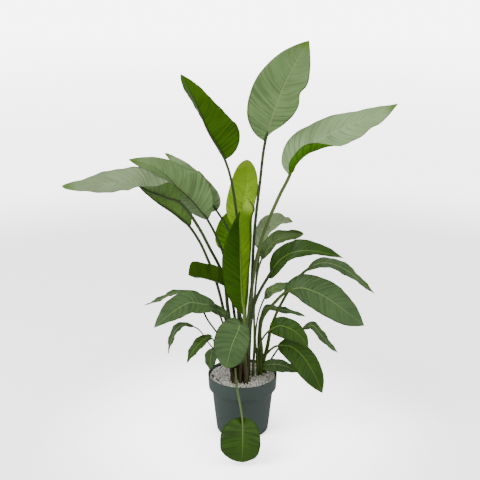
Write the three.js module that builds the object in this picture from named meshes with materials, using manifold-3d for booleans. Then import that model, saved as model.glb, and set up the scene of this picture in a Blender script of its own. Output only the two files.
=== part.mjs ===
// A potted bird of paradise: a dark green nursery pot filled with soil, topped with pale
// gravel, and the clump of long-stalked leaves that grows in it.
// Millimetres, +Z up. The origin is the middle of the pot's flat bottom, on the floor.
// -Y is the front. Every leaf with its stalk grew as one piece, so each is one mesh.

import * as THREE from 'three';
import { mergeVertices } from 'three/addons/utils/BufferGeometryUtils.js';
import Module from 'manifold-3d';

const wasm = await Module();
wasm.setup();

// ---------- driving dimensions ----------

const POT = {
  height: 210,
  rimRadius: 120,
  rimBottomRadius: 117.5,
  rimBottom: 162,
  neckRadius: 105.5,
  neckHeight: 148,
  footRadius: 90,
  footRound: 8,
  footChamfer: 2.5,
  rimUndercut: 2,
  rimUndercutHeight: 4,
  lipWidth: 1,
  lipHeight: 2,
  wall: 2.5,
  floor: 3,
  sides: 36,
};
const SIDE_HOLE = { count: 4, radius: 6, height: 29, firstAngle: -8, cutLength: 30, sides: 10 };
const INNER = { rim: 2, neck: 1, foot: 2, inset: 1, soil: 1 };
const FLOOR_HOLE = { count: 6, radius: 7, ringRadius: 55, cutLength: 12, sides: 10 };

const SOIL_TOP = 189;
const GRAVEL_BOTTOM = 189.4;
const GRAVEL = { gap: 197, stone: 4.5, stoneSpread: 2, wander: 1.3, rings: 12, stoneEvery: 3, seed: 7 };
const RANDOM = { factor: 16807, modulus: 2147483647 };

const CLEARANCE = 0.4;
const BLADE = { thickness: 1.2, ribDepth: 1.5, startBack: 6, firstRow: 0.08, acrossSteps: 12 };
const STALK = { sides: 6, footPlace: 60, slimShare: 0.6, lowerGirth: 1.15, taper: 0.85, pastNeck: 4 };
const ROOT = { bottom: 140, belowSoil: 5, upright: 30, shortUpright: 15, holeBelow: 2 };

// Each leaf: where it stands in the soil (root), the points its stalk passes, where the
// blade starts (neck), the midrib's points up to the tip, and the way its upper side
// looks from neck to tip (face). Left and right halves, seen from above with the tip
// ahead: half width, fold up from the midrib and curl across the half, in degrees at
// neck, middle and tip. Radius is the stalk's at the neck, foot is the stalk's at the soil.
const LEAVES = [
  {
    name: 'leaf_top', root: [20, 2], radius: 5, foot: 8,
    stalk: [[30, 0, 480], [40, -5, 735], [55, -10, 880]], neck: [75, -25, 1045],
    rib: [[100, -40, 1135], [145, -50, 1250], [205, -55, 1355]],
    face: [[-0.1, -1, 0.15], [-0.25, -1, 0.3]],
    left: { half: 92, fold: [5, 5, 5], curl: [10, 10, 20],
      fullness: 1.85, widest: 0.4, base: 0.6, blunt: 0.9 },
    right: { half: 87, fold: [5, 10, 5], curl: [120, 165, 30, 10, 10],
      lip: 4, fullness: 2.15, widest: 0.4, base: 2 },
    tears: [{ side: 1, place: 0.53, depth: 0.26, reach: 0.09 }],
  },
  {
    name: 'leaf_top_left', root: [3, -3], radius: 4.5, foot: 7,
    stalk: [[5, 0, 480], [-15, -20, 750]], neck: [-60, -50, 985],
    rib: [[-110, -75, 1080], [-150, -95, 1180], [-190, -110, 1260]],
    face: [[0.3, 1, 0.1], [0.3, 1, 0.3]],
    left: { half: 92, fold: [5, 5, 10], curl: [10, 10, 10],
      fullness: 0.95, widest: 0.32, base: 0.6, blunt: 0.8, lobe: 8 },
    right: { half: 85, fold: [68, 60, 30], curl: [0, 0, 0], fullness: 1.3, widest: 0.3, blunt: 0.7 },
  },
  {
    name: 'leaf_top_right', root: [16, -16], radius: 6, foot: 8,
    stalk: [[30, -20, 525], [50, -20, 650], [80, -25, 755], [120, -30, 855]], neck: [155, -35, 935],
    rib: [[160, -40, 965], [185, -50, 1005], [235, -60, 1040], [285, -70, 1070], [385, -90, 1120],
      [480, -110, 1170]],
    face: [[-0.5, -0.85, 0.5], [-0.3, -0.8, 0.6], [0, -0.5, 0.8]],
    left: { half: 70, fold: [0, 0, 0], curl: [-10, -10, 0], fullness: 1.6, widest: 0.3, base: 0.5 },
    right: { half: 84, fold: [0, 0, 0, -5, -10], curl: [200, 230, 60, 0, 0],
      lip: 1.6, fullness: 1.6, widest: 0.35, blunt: 0.8 },
    tears: [{ side: 1, place: 0.76, depth: 0.2, reach: 0.05 }],
  },
  {
    name: 'leaf_long_left', root: [-18, -24], radius: 5.5, foot: 8,
    stalk: [[-50, -15, 455], [-65, -20, 575], [-110, -25, 675], [-145, -25, 745]], neck: [-215, -20, 835],
    rib: [[-255, -30, 855], [-300, -45, 875], [-340, -60, 900], [-380, -75, 910],
      [-475, -105, 910], [-570, -125, 910]],
    face: [[0.05, -0.3, 1], [0, -0.22, 1]],
    left: { half: 76, fold: [80, 5, 0], curl: [30, 0, -10], fullness: 1.7, blunt: 0.6 },
    right: { half: 72, fold: [35, 14, 10], curl: [10, 10, -10], fullness: 1.1, blunt: 0.6 },
  },
  {
    name: 'leaf_under_long_left', root: [-29, -9], radius: 5, foot: 7,
    stalk: [[-65, 0, 445], [-90, 10, 545], [-115, 15, 615], [-150, 25, 690]], neck: [-185, 30, 740],
    rib: [[-230, 30, 780], [-280, 25, 815], [-315, 20, 845], [-345, 20, 875]],
    face: [[0.3, 1, 0.3], [0.3, 1, 0.3]],
    left: { half: 45, fold: [0, 10, 10], curl: [10, 10, 10] },
    right: { half: 50, fold: [80, 70, 40], curl: [-10, -10, 0] },
  },
  {
    name: 'leaf_broad_left', root: [-13, -7], radius: 4.5, foot: 7,
    stalk: [[-35, 20, 470], [-75, 40, 660]], neck: [-125, 65, 755],
    rib: [[-175, 80, 815], [-220, 90, 855], [-260, 100, 895], [-310, 110, 925], [-385, 125, 940]],
    face: [[-0.1, -0.9, 0.35], [0.1, -0.8, 0.5]],
    left: { half: 75, fold: [-50, -50, -40], curl: [-10, -10, 20], fullness: 1.0, base: 0.75, blunt: 0.75 },
    right: { half: 90, fold: [10, 10, 5], curl: [20, 10, 10], fullness: 0.8, base: 0.75, blunt: 0.95 },
  },
  {
    name: 'leaf_behind_broad_left', root: [-8, 10], radius: 4, foot: 6,
    stalk: [[-15, 50, 460], [-50, 75, 710]], neck: [-95, 110, 775],
    rib: [[-120, 120, 815], [-160, 135, 865], [-215, 150, 920], [-265, 160, 955]],
    face: [[0.2, -0.9, 0.4], [0, -0.8, 0.6]],
    left: { half: 60, fold: [10, 5, 5], curl: [10, 10, 10], fullness: 1, widest: 0.2, blunt: 0.75 },
    right: { half: 38, fold: [10, 5, 5], curl: [30, 10, 10], fullness: 1, widest: 0.2, blunt: 0.75 },
  },
  {
    name: 'leaf_back_upright', root: [6, 14], radius: 4, foot: 6,
    stalk: [[10, 40, 465]], neck: [0, 60, 715],
    rib: [[0, 60, 785], [15, 60, 870], [15, 55, 955]],
    face: [[0, -1, 0.1], [0, -1, 0.2]],
    left: { half: 60, fold: [10, 10, 10], curl: [10, 10, 20],
      fullness: 3, widest: 0.4, base: 0.7, blunt: 0.5 },
    right: { half: 44, fold: [40, 40, 40], curl: [-20, -20, -20], fullness: 3, widest: 0.4, blunt: 0.5 },
  },
  {
    name: 'leaf_back_left', root: [-22, 7], radius: 4, foot: 6,
    stalk: [[-15, 65, 380]], neck: [-35, 115, 620],
    rib: [[-35, 120, 675], [-30, 120, 730], [-15, 120, 780]],
    face: [[0, -1, 0.1], [0, -1, 0.1]],
    left: { half: 60, fold: [-5, 0, 10], curl: [10, 10, 10], widest: 0.3 },
    right: { half: 52, fold: [10, 10, 10], curl: [10, 10, 10], widest: 0.3 },
  },
  {
    name: 'leaf_middle_upright', root: [-6, -42], radius: 4.5, foot: 9,
    stalk: [[0, -60, 340]], neck: [5, -60, 460],
    rib: [[5, -60, 540], [5, -60, 635], [0, -60, 730], [-10, -55, 810]],
    face: [[0, -1, 0.1], [0, -1, 0.1]],
    left: { half: 74, fold: [5, 5, 10], curl: [5, 5, 10], fullness: 2.2, widest: 0.48, base: 0.8 },
    right: { half: 30, fold: [-60, -60, -60], curl: [10, 10, 10], fullness: 1.9, widest: 0.4 },
  },
  {
    name: 'leaf_rolled', root: [11, -52], radius: 5.5, foot: 9.5,
    stalk: [[5, -80, 350]], neck: [5, -90, 480],
    rib: [[0, -90, 585], [-5, -90, 720], [-5, -90, 815], [15, -90, 860]],
    face: [[0.9, -0.4, 0], [0.9, -0.4, 0]],
    left: { half: 58, fold: [0, 0, 0], curl: [150, 150, 150],
      fullness: 5, widest: 0.9, base: 1.5, lobe: 0 },
    right: { half: 58, fold: [0, 0, 0], curl: [165, 165, 165],
      fullness: 5, widest: 0.9, base: 1.5, lobe: 0 },
    wave: { height: 0, count: 1, phase: 0 },
  },
  {
    name: 'leaf_level_left', root: [0, -26], radius: 4, foot: 6,
    stalk: [[-10, -25, 445]], neck: [-55, -50, 550],
    rib: [[-90, -60, 570], [-140, -65, 585], [-180, -60, 590]],
    face: [[0, 1, 0.1], [0, 1, 0.1]],
    left: { half: 54, fold: [0, 0, 0], curl: [0, 0, 0],
      fullness: 12, widest: 0.55, base: 0.4, blunt: 0.5, lobe: 3 },
    right: { half: 20, fold: [80, 70, 20], curl: [0, 0, 0], base: 0.8, lobe: 3 },
  },
  {
    name: 'leaf_torn_right', root: [19, 19], radius: 3.5, foot: 5.5, small: true,
    stalk: [[40, 40, 465]], neck: [65, 60, 650],
    rib: [[75, 70, 680], [95, 85, 705], [125, 100, 725], [175, 120, 720]],
    face: [[-0.7, -0.6, 0.6], [-0.3, -0.8, 0.5]],
    left: { half: 50, fold: [10, 10, 10], curl: [10, 10, 10], fullness: 1.8, widest: 0.42, base: 0.5 },
    right: { half: 26, fold: [20, 20, 20], curl: [20, 20, 20], fullness: 1.8 },
    tears: [{ side: -1, place: 0.82, depth: 0.4, reach: 0.05 }],
  },
  {
    name: 'leaf_curled_right', root: [37, -4], radius: 3.5, foot: 5.5, small: true,
    stalk: [[41, 6, 300], [42, 30, 470]], neck: [70, 20, 630],
    rib: [[85, 20, 655], [110, 30, 680], [155, 30, 695], [205, 30, 705]],
    face: [[-0.3, -0.7, 0.7], [-0.3, -0.5, 0.8]],
    left: { half: 32, fold: [5, 5, 5], curl: [10, 60, 240],
      lip: 1.5, fullness: 5, widest: 0.6, blunt: 0.6 },
    right: { half: 26, fold: [20, 20, 10], curl: [10, 10, 10], fullness: 4, blunt: 0.6 },
  },
  {
    name: 'leaf_arched_right', root: [16, -34], radius: 5.5, foot: 7.5,
    stalk: [[25, -35, 415], [50, -40, 510]], neck: [95, -40, 595],
    rib: [[105, -45, 615], [135, -50, 650], [180, -65, 675], [225, -75, 680], [270, -85, 675],
      [330, -95, 660]],
    face: [[-0.6, -0.6, 0.7], [0.1, -0.7, 0.8]],
    left: { half: 42, fold: [10, 5, 5], curl: [10, 10, 10], fullness: 1.8, base: 1 },
    right: { half: 26, fold: [0, -10, -10], curl: [-30, -30, -20],
      fullness: 1.4, widest: 0.15, base: 0.4, lobe: 24 },
  },
  {
    name: 'leaf_drooping_right', root: [70, 36], radius: 5, foot: 8,
    stalk: [[85, 35, 285], [100, 30, 370], [135, 40, 455]], neck: [225, 50, 575],
    rib: [[260, 50, 595], [310, 40, 595], [355, 30, 575], [400, 25, 540], [455, 20, 490]],
    face: [[-0.1, -0.4, 1], [0.4, -0.5, 0.8]],
    left: { half: 30, fold: [0, 0, 0], curl: [0, 0, 0], fullness: 1.6, base: 0.9 },
    right: { half: 26, fold: [0, 0, 0], curl: [0, 0, 0], fullness: 1.6 },
  },
  {
    name: 'leaf_broad_right', root: [62, 17], radius: 5.5, foot: 9,
    stalk: [[65, 30, 280], [60, 20, 350], [70, 5, 415], [105, -10, 470]], neck: [150, -25, 520],
    rib: [[195, -45, 540], [245, -60, 530], [295, -75, 505], [345, -85, 470], [405, -95, 425]],
    face: [[-0.1, -0.8, 0.7], [0.4, -0.8, 0.5]],
    left: { half: 56, fold: [5, 5, 5], curl: [5, 5, 5], fullness: 2.2, widest: 0.45 },
    right: { half: 60, fold: [5, 5, 5], curl: [-5, -5, -5], fullness: 3, widest: 0.45, base: 1, lobe: 0 },
  },
  {
    name: 'leaf_short_right', root: [54, 29], radius: 3, foot: 4, small: true,
    stalk: [[45, 35, 335]], neck: [80, 25, 485],
    rib: [[95, 15, 510], [120, 20, 520], [185, 25, 530]],
    face: [[-0.2, -0.7, 0.6], [0, -0.6, 0.8]],
    left: { half: 15, fold: [5, 5, 5], curl: [5, 5, 5] },
    right: { half: 22, fold: [5, 5, 5], curl: [5, 5, 5] },
  },
  {
    name: 'leaf_slim_right', root: [58, 42], radius: 3, foot: 4, small: true,
    stalk: [[55, 40, 335]], neck: [70, 50, 415],
    rib: [[85, 60, 430], [125, 60, 425], [175, 55, 415], [225, 45, 400]],
    face: [[-0.1, -0.5, 0.9], [0.2, -0.5, 0.9]],
    left: { half: 11, fold: [5, 5, 5], curl: [5, 5, 5] },
    right: { half: 18, fold: [5, 5, 5], curl: [5, 5, 5] },
  },
  {
    name: 'leaf_low_right_upper', root: [53, 5], radius: 3.5, foot: 5, small: true,
    stalk: [[50, -10, 290], [65, -30, 345]], neck: [100, -60, 400],
    rib: [[125, -70, 415], [155, -80, 410], [190, -95, 390], [220, -105, 350]],
    face: [[-0.2, -0.8, 0.6], [0.3, -0.9, 0.5]],
    left: { half: 32, fold: [5, 5, 5], curl: [5, 5, 5] },
    right: { half: 42, fold: [5, 5, 5], curl: [5, 5, 5] },
  },
  {
    name: 'leaf_low_right_lower', root: [80, 22], radius: 4, foot: 5,
    stalk: [[75, 10, 260], [95, 0, 295]], neck: [130, -40, 330],
    rib: [[160, -60, 335], [195, -75, 315], [230, -90, 270], [270, -110, 185]],
    face: [[-0.1, -0.8, 0.6], [0.3, -0.9, 0.2]],
    left: { half: 36, fold: [5, 5, 5], curl: [5, 5, 5], fullness: 2.4, widest: 0.45 },
    right: { half: 50, fold: [5, 5, 5], curl: [5, 5, 5], fullness: 2.4, widest: 0.45 },
  },
  {
    name: 'leaf_small_right', root: [86, 40], radius: 3, foot: 4, small: true,
    stalk: [[100, 25, 250], [130, 20, 300]], neck: [215, 10, 375],
    rib: [[240, 5, 385], [260, 0, 365], [285, -10, 335], [330, -15, 290]],
    face: [[0, -0.6, 0.8], [0.5, -0.7, 0.6]],
    left: { half: 16, fold: [5, 5, 5], curl: [5, 5, 5] },
    right: { half: 18, fold: [5, 5, 5], curl: [5, 5, 5] },
  },
  {
    name: 'leaf_low_right_level', root: [66, 3], radius: 2.5, foot: 4, small: true,
    stalk: [], neck: [75, -40, 255],
    rib: [[105, -50, 265], [145, -55, 260], [195, -60, 240]],
    face: [[0, -0.7, 0.7], [0.2, -0.7, 0.7]],
    left: { half: 20, fold: [5, 5, 5], curl: [5, 5, 5] },
    right: { half: 28, fold: [5, 5, 5], curl: [5, 5, 5] },
  },
  {
    name: 'leaf_slim_left', root: [-38, 6], radius: 3.5, foot: 5.5, small: true,
    stalk: [[-70, 0, 330], [-115, -10, 405]], neck: [-185, -15, 515],
    rib: [[-225, -20, 515], [-265, -30, 500], [-305, -40, 485], [-330, -50, 480]],
    face: [[0.1, -0.2, 1], [-0.3, -0.5, 0.8]],
    left: { half: 10, fold: [5, 5, 5], curl: [5, 5, 5] },
    right: { half: 14, fold: [5, 5, 5], curl: [5, 5, 5] },
  },
  {
    name: 'leaf_drooping_left', root: [-34, -44], radius: 3.5, foot: 5.5,
    stalk: [[-60, -56, 400]], neck: [-100, -60, 480],
    rib: [[-140, -75, 495], [-175, -90, 505], [-215, -110, 490], [-250, -130, 470], [-290, -150, 440]],
    face: [[0.3, -0.6, 0.8], [-0.3, -0.8, 0.6]],
    left: { half: 42, fold: [5, 5, 5], curl: [5, 5, 5] },
    right: { half: 45, fold: [5, 5, 5], curl: [5, 5, 5], fullness: 1.9, widest: 0.48 },
  },
  {
    name: 'leaf_inner_left', root: [-36, -32], radius: 3, foot: 5, small: true,
    stalk: [[-37, -38, 360]], neck: [-50, -36, 435],
    rib: [[-85, -35, 460], [-120, -30, 475], [-160, -20, 480]],
    face: [[0.2, -0.95, 0.3], [0.1, -0.95, 0.3]],
    left: { half: 18, fold: [5, 5, 5], curl: [5, 5, 5] },
    right: { half: 14, fold: [5, 5, 5], curl: [5, 5, 5] },
  },
  {
    name: 'leaf_small_left_outer', root: [-36, 18], radius: 2.5, foot: 4, small: true,
    stalk: [[-60, 14, 255], [-105, 5, 305]], neck: [-175, -60, 410],
    rib: [[-205, -65, 415], [-225, -75, 400], [-240, -85, 365], [-250, -90, 320]],
    face: [[0, -0.3, 1], [-0.7, -0.6, 0.3]],
    left: { half: 15, fold: [5, 5, 5], curl: [5, 5, 5] },
    right: { half: 16, fold: [5, 5, 5], curl: [5, 5, 5] },
  },
  {
    name: 'leaf_small_left_inner', root: [-33, -57], radius: 2.5, foot: 4, small: true,
    stalk: [[-85, -75, 330]], neck: [-110, -90, 380],
    rib: [[-130, -95, 375], [-150, -110, 360], [-170, -120, 335], [-185, -130, 305]],
    face: [[0.1, -0.5, 0.9], [-0.6, -0.8, 0.4]],
    left: { half: 20, fold: [5, 5, 5], curl: [5, 5, 5] },
    right: { half: 20, fold: [5, 5, 5], curl: [5, 5, 5] },
  },
  {
    name: 'leaf_front', root: [-8, -60], radius: 4, foot: 6,
    stalk: [[0, -98, 350], [0, -106, 420]], neck: [-5, -125, 445],
    rib: [[-20, -145, 415], [-35, -165, 385], [-45, -185, 355], [-55, -200, 320]],
    face: [[0, -0.9, 0.7], [0, -1, 0.35]],
    left: { half: 54, fold: [0, 0, -5], curl: [0, 0, -10],
      fullness: 2.6, widest: 0.5, base: 0.7, blunt: 0.6 },
    right: { half: 64, fold: [0, 0, -5], curl: [0, 0, -10],
      fullness: 2.4, widest: 0.32, base: 0.6, blunt: 0.7 },
  },
  {
    name: 'leaf_front_low', root: [-22, -54], radius: 3.5, foot: 4.5,
    stalk: [[-24, -72, 258], [-20, -135, 232]], neck: [0, -237, 132],
    rib: [[0, -260, 110], [0, -278, 80], [-5, -280, 20]],
    face: [[0, -0.9, 0.4], [0, -1, -0.3]],
    left: { half: 58, fold: [0, 0, -5], curl: [-5, -5, -5],
      fullness: 3.2, widest: 0.42, base: 0.4, blunt: 0.5, lobe: 28 },
    right: { half: 74, fold: [0, 0, -5], curl: [-5, -5, -5],
      fullness: 3.2, widest: 0.42, base: 0.4, blunt: 0.5, lobe: 28 },
  },
  {
    name: 'leaf_front_left', root: [-39, -20], radius: 2.5, foot: 4, small: true,
    stalk: [[-66, -13, 284], [-80, -15, 308], [-92, -17, 317]], neck: [-102, -19, 309],
    rib: [[-107, -21, 291], [-111, -24, 265], [-112, -27, 232]],
    face: [[-0.3, -0.95, 0.3], [-0.3, -0.95, 0.1]],
    left: { half: 24, fold: [5, 5, 5], curl: [5, 5, 5], base: 1, lobe: 2 },
    right: { half: 22, fold: [5, 5, 5], curl: [5, 5, 5], base: 1, lobe: 2 },
  },
];

const HALF_DEFAULTS = { fullness: 2, widest: 0.36, base: 0.55, blunt: 1, lobe: 12, lip: 1 };
const WAVE_DEFAULT = { height: 3, count: 3, phase: 0 };
const WAVE_SHIFT = 0.23;
const SLOPE_STEP = 0.004;
const NORMAL_STEP = 0.01;
const BASE_ROUNDNESS = 2.4;
const LOBE = { share: 0.5, bend: 1.5 };

// ---------- finishes ----------

const FINISH = {
  pot: new THREE.MeshStandardMaterial({ color: 0x3f4d4c, roughness: 0.65, metalness: 0 }),
  soil: new THREE.MeshStandardMaterial({ color: 0x2a211a, roughness: 0.95, metalness: 0 }),
  gravel: new THREE.MeshStandardMaterial({ color: 0xcfcac0, roughness: 0.9, metalness: 0 }),
  leaf: new THREE.MeshStandardMaterial({ color: 0x3f6a2c, roughness: 0.45, metalness: 0 }),
  youngLeaf: new THREE.MeshStandardMaterial({ color: 0x86a832, roughness: 0.5, metalness: 0 }),
};

// ---------- solids ----------

function weld(geometry) {
  const bare = geometry.clone();
  bare.deleteAttribute('normal');
  bare.deleteAttribute('uv');
  const merged = mergeVertices(bare, 1e-3);
  const corners = merged.index.array;
  const kept = [];
  for (let i = 0; i < corners.length; i += 3) {
    const [a, b, c] = corners.slice(i, i + 3);
    if (a !== b && b !== c && c !== a) kept.push(a, b, c);
  }
  merged.setIndex(kept);
  return merged;
}

function toSolid(geometry) {
  const welded = weld(geometry);
  return new wasm.Manifold(new wasm.Mesh({
    numProp: 3,
    vertProperties: new Float32Array(welded.attributes.position.array),
    triVerts: new Uint32Array(welded.index.array),
  }));
}

function toGeometry(solid) {
  const mesh = solid.getMesh();
  const geometry = new THREE.BufferGeometry();
  geometry.setAttribute('position', new THREE.BufferAttribute(Float32Array.from(mesh.vertProperties), 3));
  geometry.setIndex(new THREE.BufferAttribute(Uint32Array.from(mesh.triVerts), 1));
  return geometry;
}

function fromPoints(points, corners) {
  const geometry = new THREE.BufferGeometry();
  const flat = points.flatMap((point) => point.toArray());
  geometry.setAttribute('position', new THREE.Float32BufferAttribute(flat, 3));
  geometry.setIndex(corners);
  return geometry;
}

// A closed tube through rings of points, the last ring closed by the first point's fan.
function ringSolid(rings) {
  const sides = rings[0].length;
  const corners = [];
  for (let row = 0; row < rings.length - 1; row += 1) {
    for (let side = 0; side < sides; side += 1) {
      const next = (side + 1) % sides;
      const [a, b] = [row * sides + side, row * sides + next];
      corners.push(a, b, b + sides, a, b + sides, a + sides);
    }
  }
  const last = (rings.length - 1) * sides;
  for (let side = 1; side < sides - 1; side += 1) {
    corners.push(0, side + 1, side, last, last + side, last + side + 1);
  }
  return fromPoints(rings.flat(), corners);
}

// A thin closed solid between two grids of points, both split into triangles alike.
function sheetSolid(upper, lower) {
  const rows = upper.length;
  const columns = upper[0].length;
  const under = rows * columns;
  const corners = [];
  for (let row = 0; row < rows - 1; row += 1) {
    for (let column = 0; column < columns - 1; column += 1) {
      const a = row * columns + column;
      const [b, c, d] = [a + 1, a + columns + 1, a + columns];
      corners.push(a, b, c, a, c, d);
      corners.push(under + a, under + c, under + b, under + a, under + d, under + c);
    }
  }
  const border = [];
  for (let column = 0; column < columns - 1; column += 1) border.push(column);
  for (let row = 0; row < rows - 1; row += 1) border.push(row * columns + columns - 1);
  for (let column = columns - 1; column > 0; column -= 1) border.push((rows - 1) * columns + column);
  for (let row = rows - 1; row > 0; row -= 1) border.push(row * columns);
  border.forEach((a, place) => {
    const b = border[(place + 1) % border.length];
    corners.push(a, under + a, under + b, a, under + b, b);
  });
  return fromPoints([...upper.flat(), ...lower.flat()], corners);
}

// ---------- lines and cross-sections ----------

// A smooth line through points: cubic pieces by chord length.
class GrowthLine {
  constructor(points) {
    this.points = points.map((point) => new THREE.Vector3(...point));
    this.places = [0];
    for (let i = 1; i < points.length; i += 1) {
      this.places.push(this.places[i - 1] + this.points[i].distanceTo(this.points[i - 1]));
    }
    this.length = this.places.at(-1);
    const slope = (i) => this.points[i + 1].clone().sub(this.points[i])
      .divideScalar(this.places[i + 1] - this.places[i]);
    const last = points.length - 1;
    this.slopes = this.points.map((point, i) => {
      if (i === 0 || i === last) return null;
      const before = this.places[i] - this.places[i - 1];
      const after = this.places[i + 1] - this.places[i];
      return slope(i - 1).multiplyScalar(after).add(slope(i).multiplyScalar(before))
        .divideScalar(before + after);
    });
    this.slopes[0] = slope(0).multiplyScalar(1.5).addScaledVector(this.slopes[1], -0.5);
    this.slopes[last] = slope(last - 1).multiplyScalar(1.5).addScaledVector(this.slopes[last - 1], -0.5);
  }

  at(place) {
    const here = Math.min(Math.max(place, 0), this.length);
    let i = 0;
    while (i < this.points.length - 2 && here > this.places[i + 1]) i += 1;
    const span = this.places[i + 1] - this.places[i];
    const x = (here - this.places[i]) / span;
    return new THREE.Vector3()
      .addScaledVector(this.points[i], 2 * x ** 3 - 3 * x ** 2 + 1)
      .addScaledVector(this.slopes[i], span * (x ** 3 - 2 * x ** 2 + x))
      .addScaledVector(this.points[i + 1], -2 * x ** 3 + 3 * x ** 2)
      .addScaledVector(this.slopes[i + 1], span * (x ** 3 - x ** 2));
  }

  direction(place) {
    const step = this.length * SLOPE_STEP;
    return this.at(place + step).sub(this.at(place - step)).normalize();
  }
}

// Values given at even places from neck to tip, blended along the rib.
function along(values, u) {
  const place = THREE.MathUtils.clamp(u, 0, 1) * (values.length - 1);
  const i = Math.min(Math.floor(place), values.length - 2);
  return THREE.MathUtils.lerp(values[i], values[i + 1], place - i);
}

function faceAt(leaf, u) {
  const axis = [0, 1, 2].map((i) => along(leaf.face.map((face) => face[i]), u));
  return new THREE.Vector3(...axis).normalize();
}

// How wide a half is at u along the rib, over its greatest width.
function outline(half, u) {
  if (u < half.widest) {
    const x = 1 - u / half.widest;
    return Math.max(0, 1 - x ** BASE_ROUNDNESS) ** half.base;
  }
  const x = (u - half.widest) / (1 - half.widest);
  return Math.max(0, 1 - x ** half.fullness) ** half.blunt;
}

function halfWidth(leaf, half, side, u) {
  let width = half.half * outline(half, u);
  for (const tear of leaf.tears ?? []) {
    if (tear.side !== side) continue;
    width *= 1 - tear.depth * Math.exp(-(((u - tear.place) / tear.reach) ** 2));
  }
  return width;
}

// The half's cross-section, from the rib outwards: it starts at the fold and bends by the curl.
function acrossHalf(fold, curl, lip, width, v) {
  const { acrossSteps } = BLADE;
  let out = 0;
  let up = 0;
  for (let step = 0; step < acrossSteps; step += 1) {
    const angle = THREE.MathUtils.degToRad(fold + curl * (((step + 0.5) / acrossSteps) * v) ** lip);
    out += (width * v * Math.cos(angle)) / acrossSteps;
    up += (width * v * Math.sin(angle)) / acrossSteps;
  }
  return [out, up];
}

// The blade's middle surface: u from neck to tip, v from the left edge -1 to the right edge 1.
function bladePoint(leaf, u, v) {
  const side = v > 0 ? 1 : -1;
  const reach = Math.abs(v);
  const half = { ...HALF_DEFAULTS, ...(side > 0 ? leaf.right : leaf.left) };
  const wave = leaf.wave ?? WAVE_DEFAULT;
  const place = leaf.neckPlace + (leaf.line.length - leaf.neckPlace) * u;
  const point = leaf.line.at(place);
  const ahead = leaf.line.direction(place);
  const right = ahead.clone().cross(faceAt(leaf, u)).normalize();
  const up = right.clone().cross(ahead);
  const width = Math.max(halfWidth(leaf, half, side, u), leaf.radius * (1 - u));
  const [out, rise] = acrossHalf(along(half.fold, u), along(half.curl, u), half.lip, width, reach);
  const turn = 2 * Math.PI * (wave.count * u + wave.phase + WAVE_SHIFT * side);
  const ripple = wave.height * reach ** 2 * Math.sin(turn) * Math.sqrt(Math.sin(Math.PI * Math.min(1, u)));
  const lobe = half.lobe * reach ** LOBE.bend * Math.max(0, 1 - u / LOBE.share) ** 2;
  return point
    .addScaledVector(right, side * out)
    .addScaledVector(up, rise + ripple)
    .addScaledVector(ahead, -lobe);
}

function bladeNormal(leaf, u, v) {
  const step = NORMAL_STEP;
  const [u0, u1] = [Math.max(0, u - step), Math.min(1, u + step)];
  const [v0, v1] = [Math.max(-1, v - step), Math.min(1, v + step)];
  const ahead = bladePoint(leaf, u1, v).sub(bladePoint(leaf, u0, v));
  const right = bladePoint(leaf, u, v1).sub(bladePoint(leaf, u, v0));
  return right.cross(ahead).normalize();
}

// ---------- leaves ----------

const LARGE = { rows: 8, columns: [-1, -0.62, -0.15, 0, 0.15, 0.62, 1], stalkSteps: 6 };
const SMALL = { rows: 6, columns: [-1, -0.6, -0.2, 0, 0.2, 0.6, 1], stalkSteps: 5 };

function prepareLeaf(leaf) {
  const [x, y] = leaf.root;
  const upright = SOIL_TOP + (leaf.stalk.length ? ROOT.upright : ROOT.shortUpright);
  const start = [[x, y, ROOT.bottom], [x, y, SOIL_TOP - ROOT.belowSoil], [x, y, upright]];
  const line = new GrowthLine([...start, ...leaf.stalk, leaf.neck, ...leaf.rib]);
  const neckPlace = line.places[start.length + leaf.stalk.length];
  return { ...leaf, line, neckPlace };
}

// How thick the stalk is at a place along its line: the foot's width up to a little above
// the gravel, then slimmer, and slightly tapered to the neck.
function stalkRadius(leaf, place) {
  const slimPlace = STALK.footPlace + STALK.slimShare * (leaf.neckPlace - STALK.footPlace);
  const slim = THREE.MathUtils.smoothstep(place, STALK.footPlace, slimPlace);
  const radius = THREE.MathUtils.lerp(leaf.foot, leaf.radius * STALK.lowerGirth, slim);
  return radius * THREE.MathUtils.lerp(1, STALK.taper, place / leaf.neckPlace);
}

// Rings of points around the stalk, from its buried end to just past the neck.
function stalkRings(leaf, swell) {
  const rings = [];
  const { stalkSteps } = leaf.small ? SMALL : LARGE;
  const end = leaf.neckPlace + STALK.pastNeck;
  const right = new THREE.Vector3(1, 0, 0);
  let before = new THREE.Vector3(0, 0, 1);
  for (let step = 0; step <= stalkSteps; step += 1) {
    const place = (end * step) / stalkSteps;
    const radius = stalkRadius(leaf, place) + swell;
    const ahead = leaf.line.direction(place);
    right.applyQuaternion(new THREE.Quaternion().setFromUnitVectors(before, ahead));
    before = ahead;
    const up = ahead.clone().cross(right);
    const centre = leaf.line.at(place);
    rings.push(Array.from({ length: STALK.sides }, (_, side) => {
      const angle = (2 * Math.PI * side) / STALK.sides;
      return centre.clone()
        .addScaledVector(right, radius * Math.cos(angle))
        .addScaledVector(up, radius * Math.sin(angle));
    }));
  }
  return rings;
}

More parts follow.
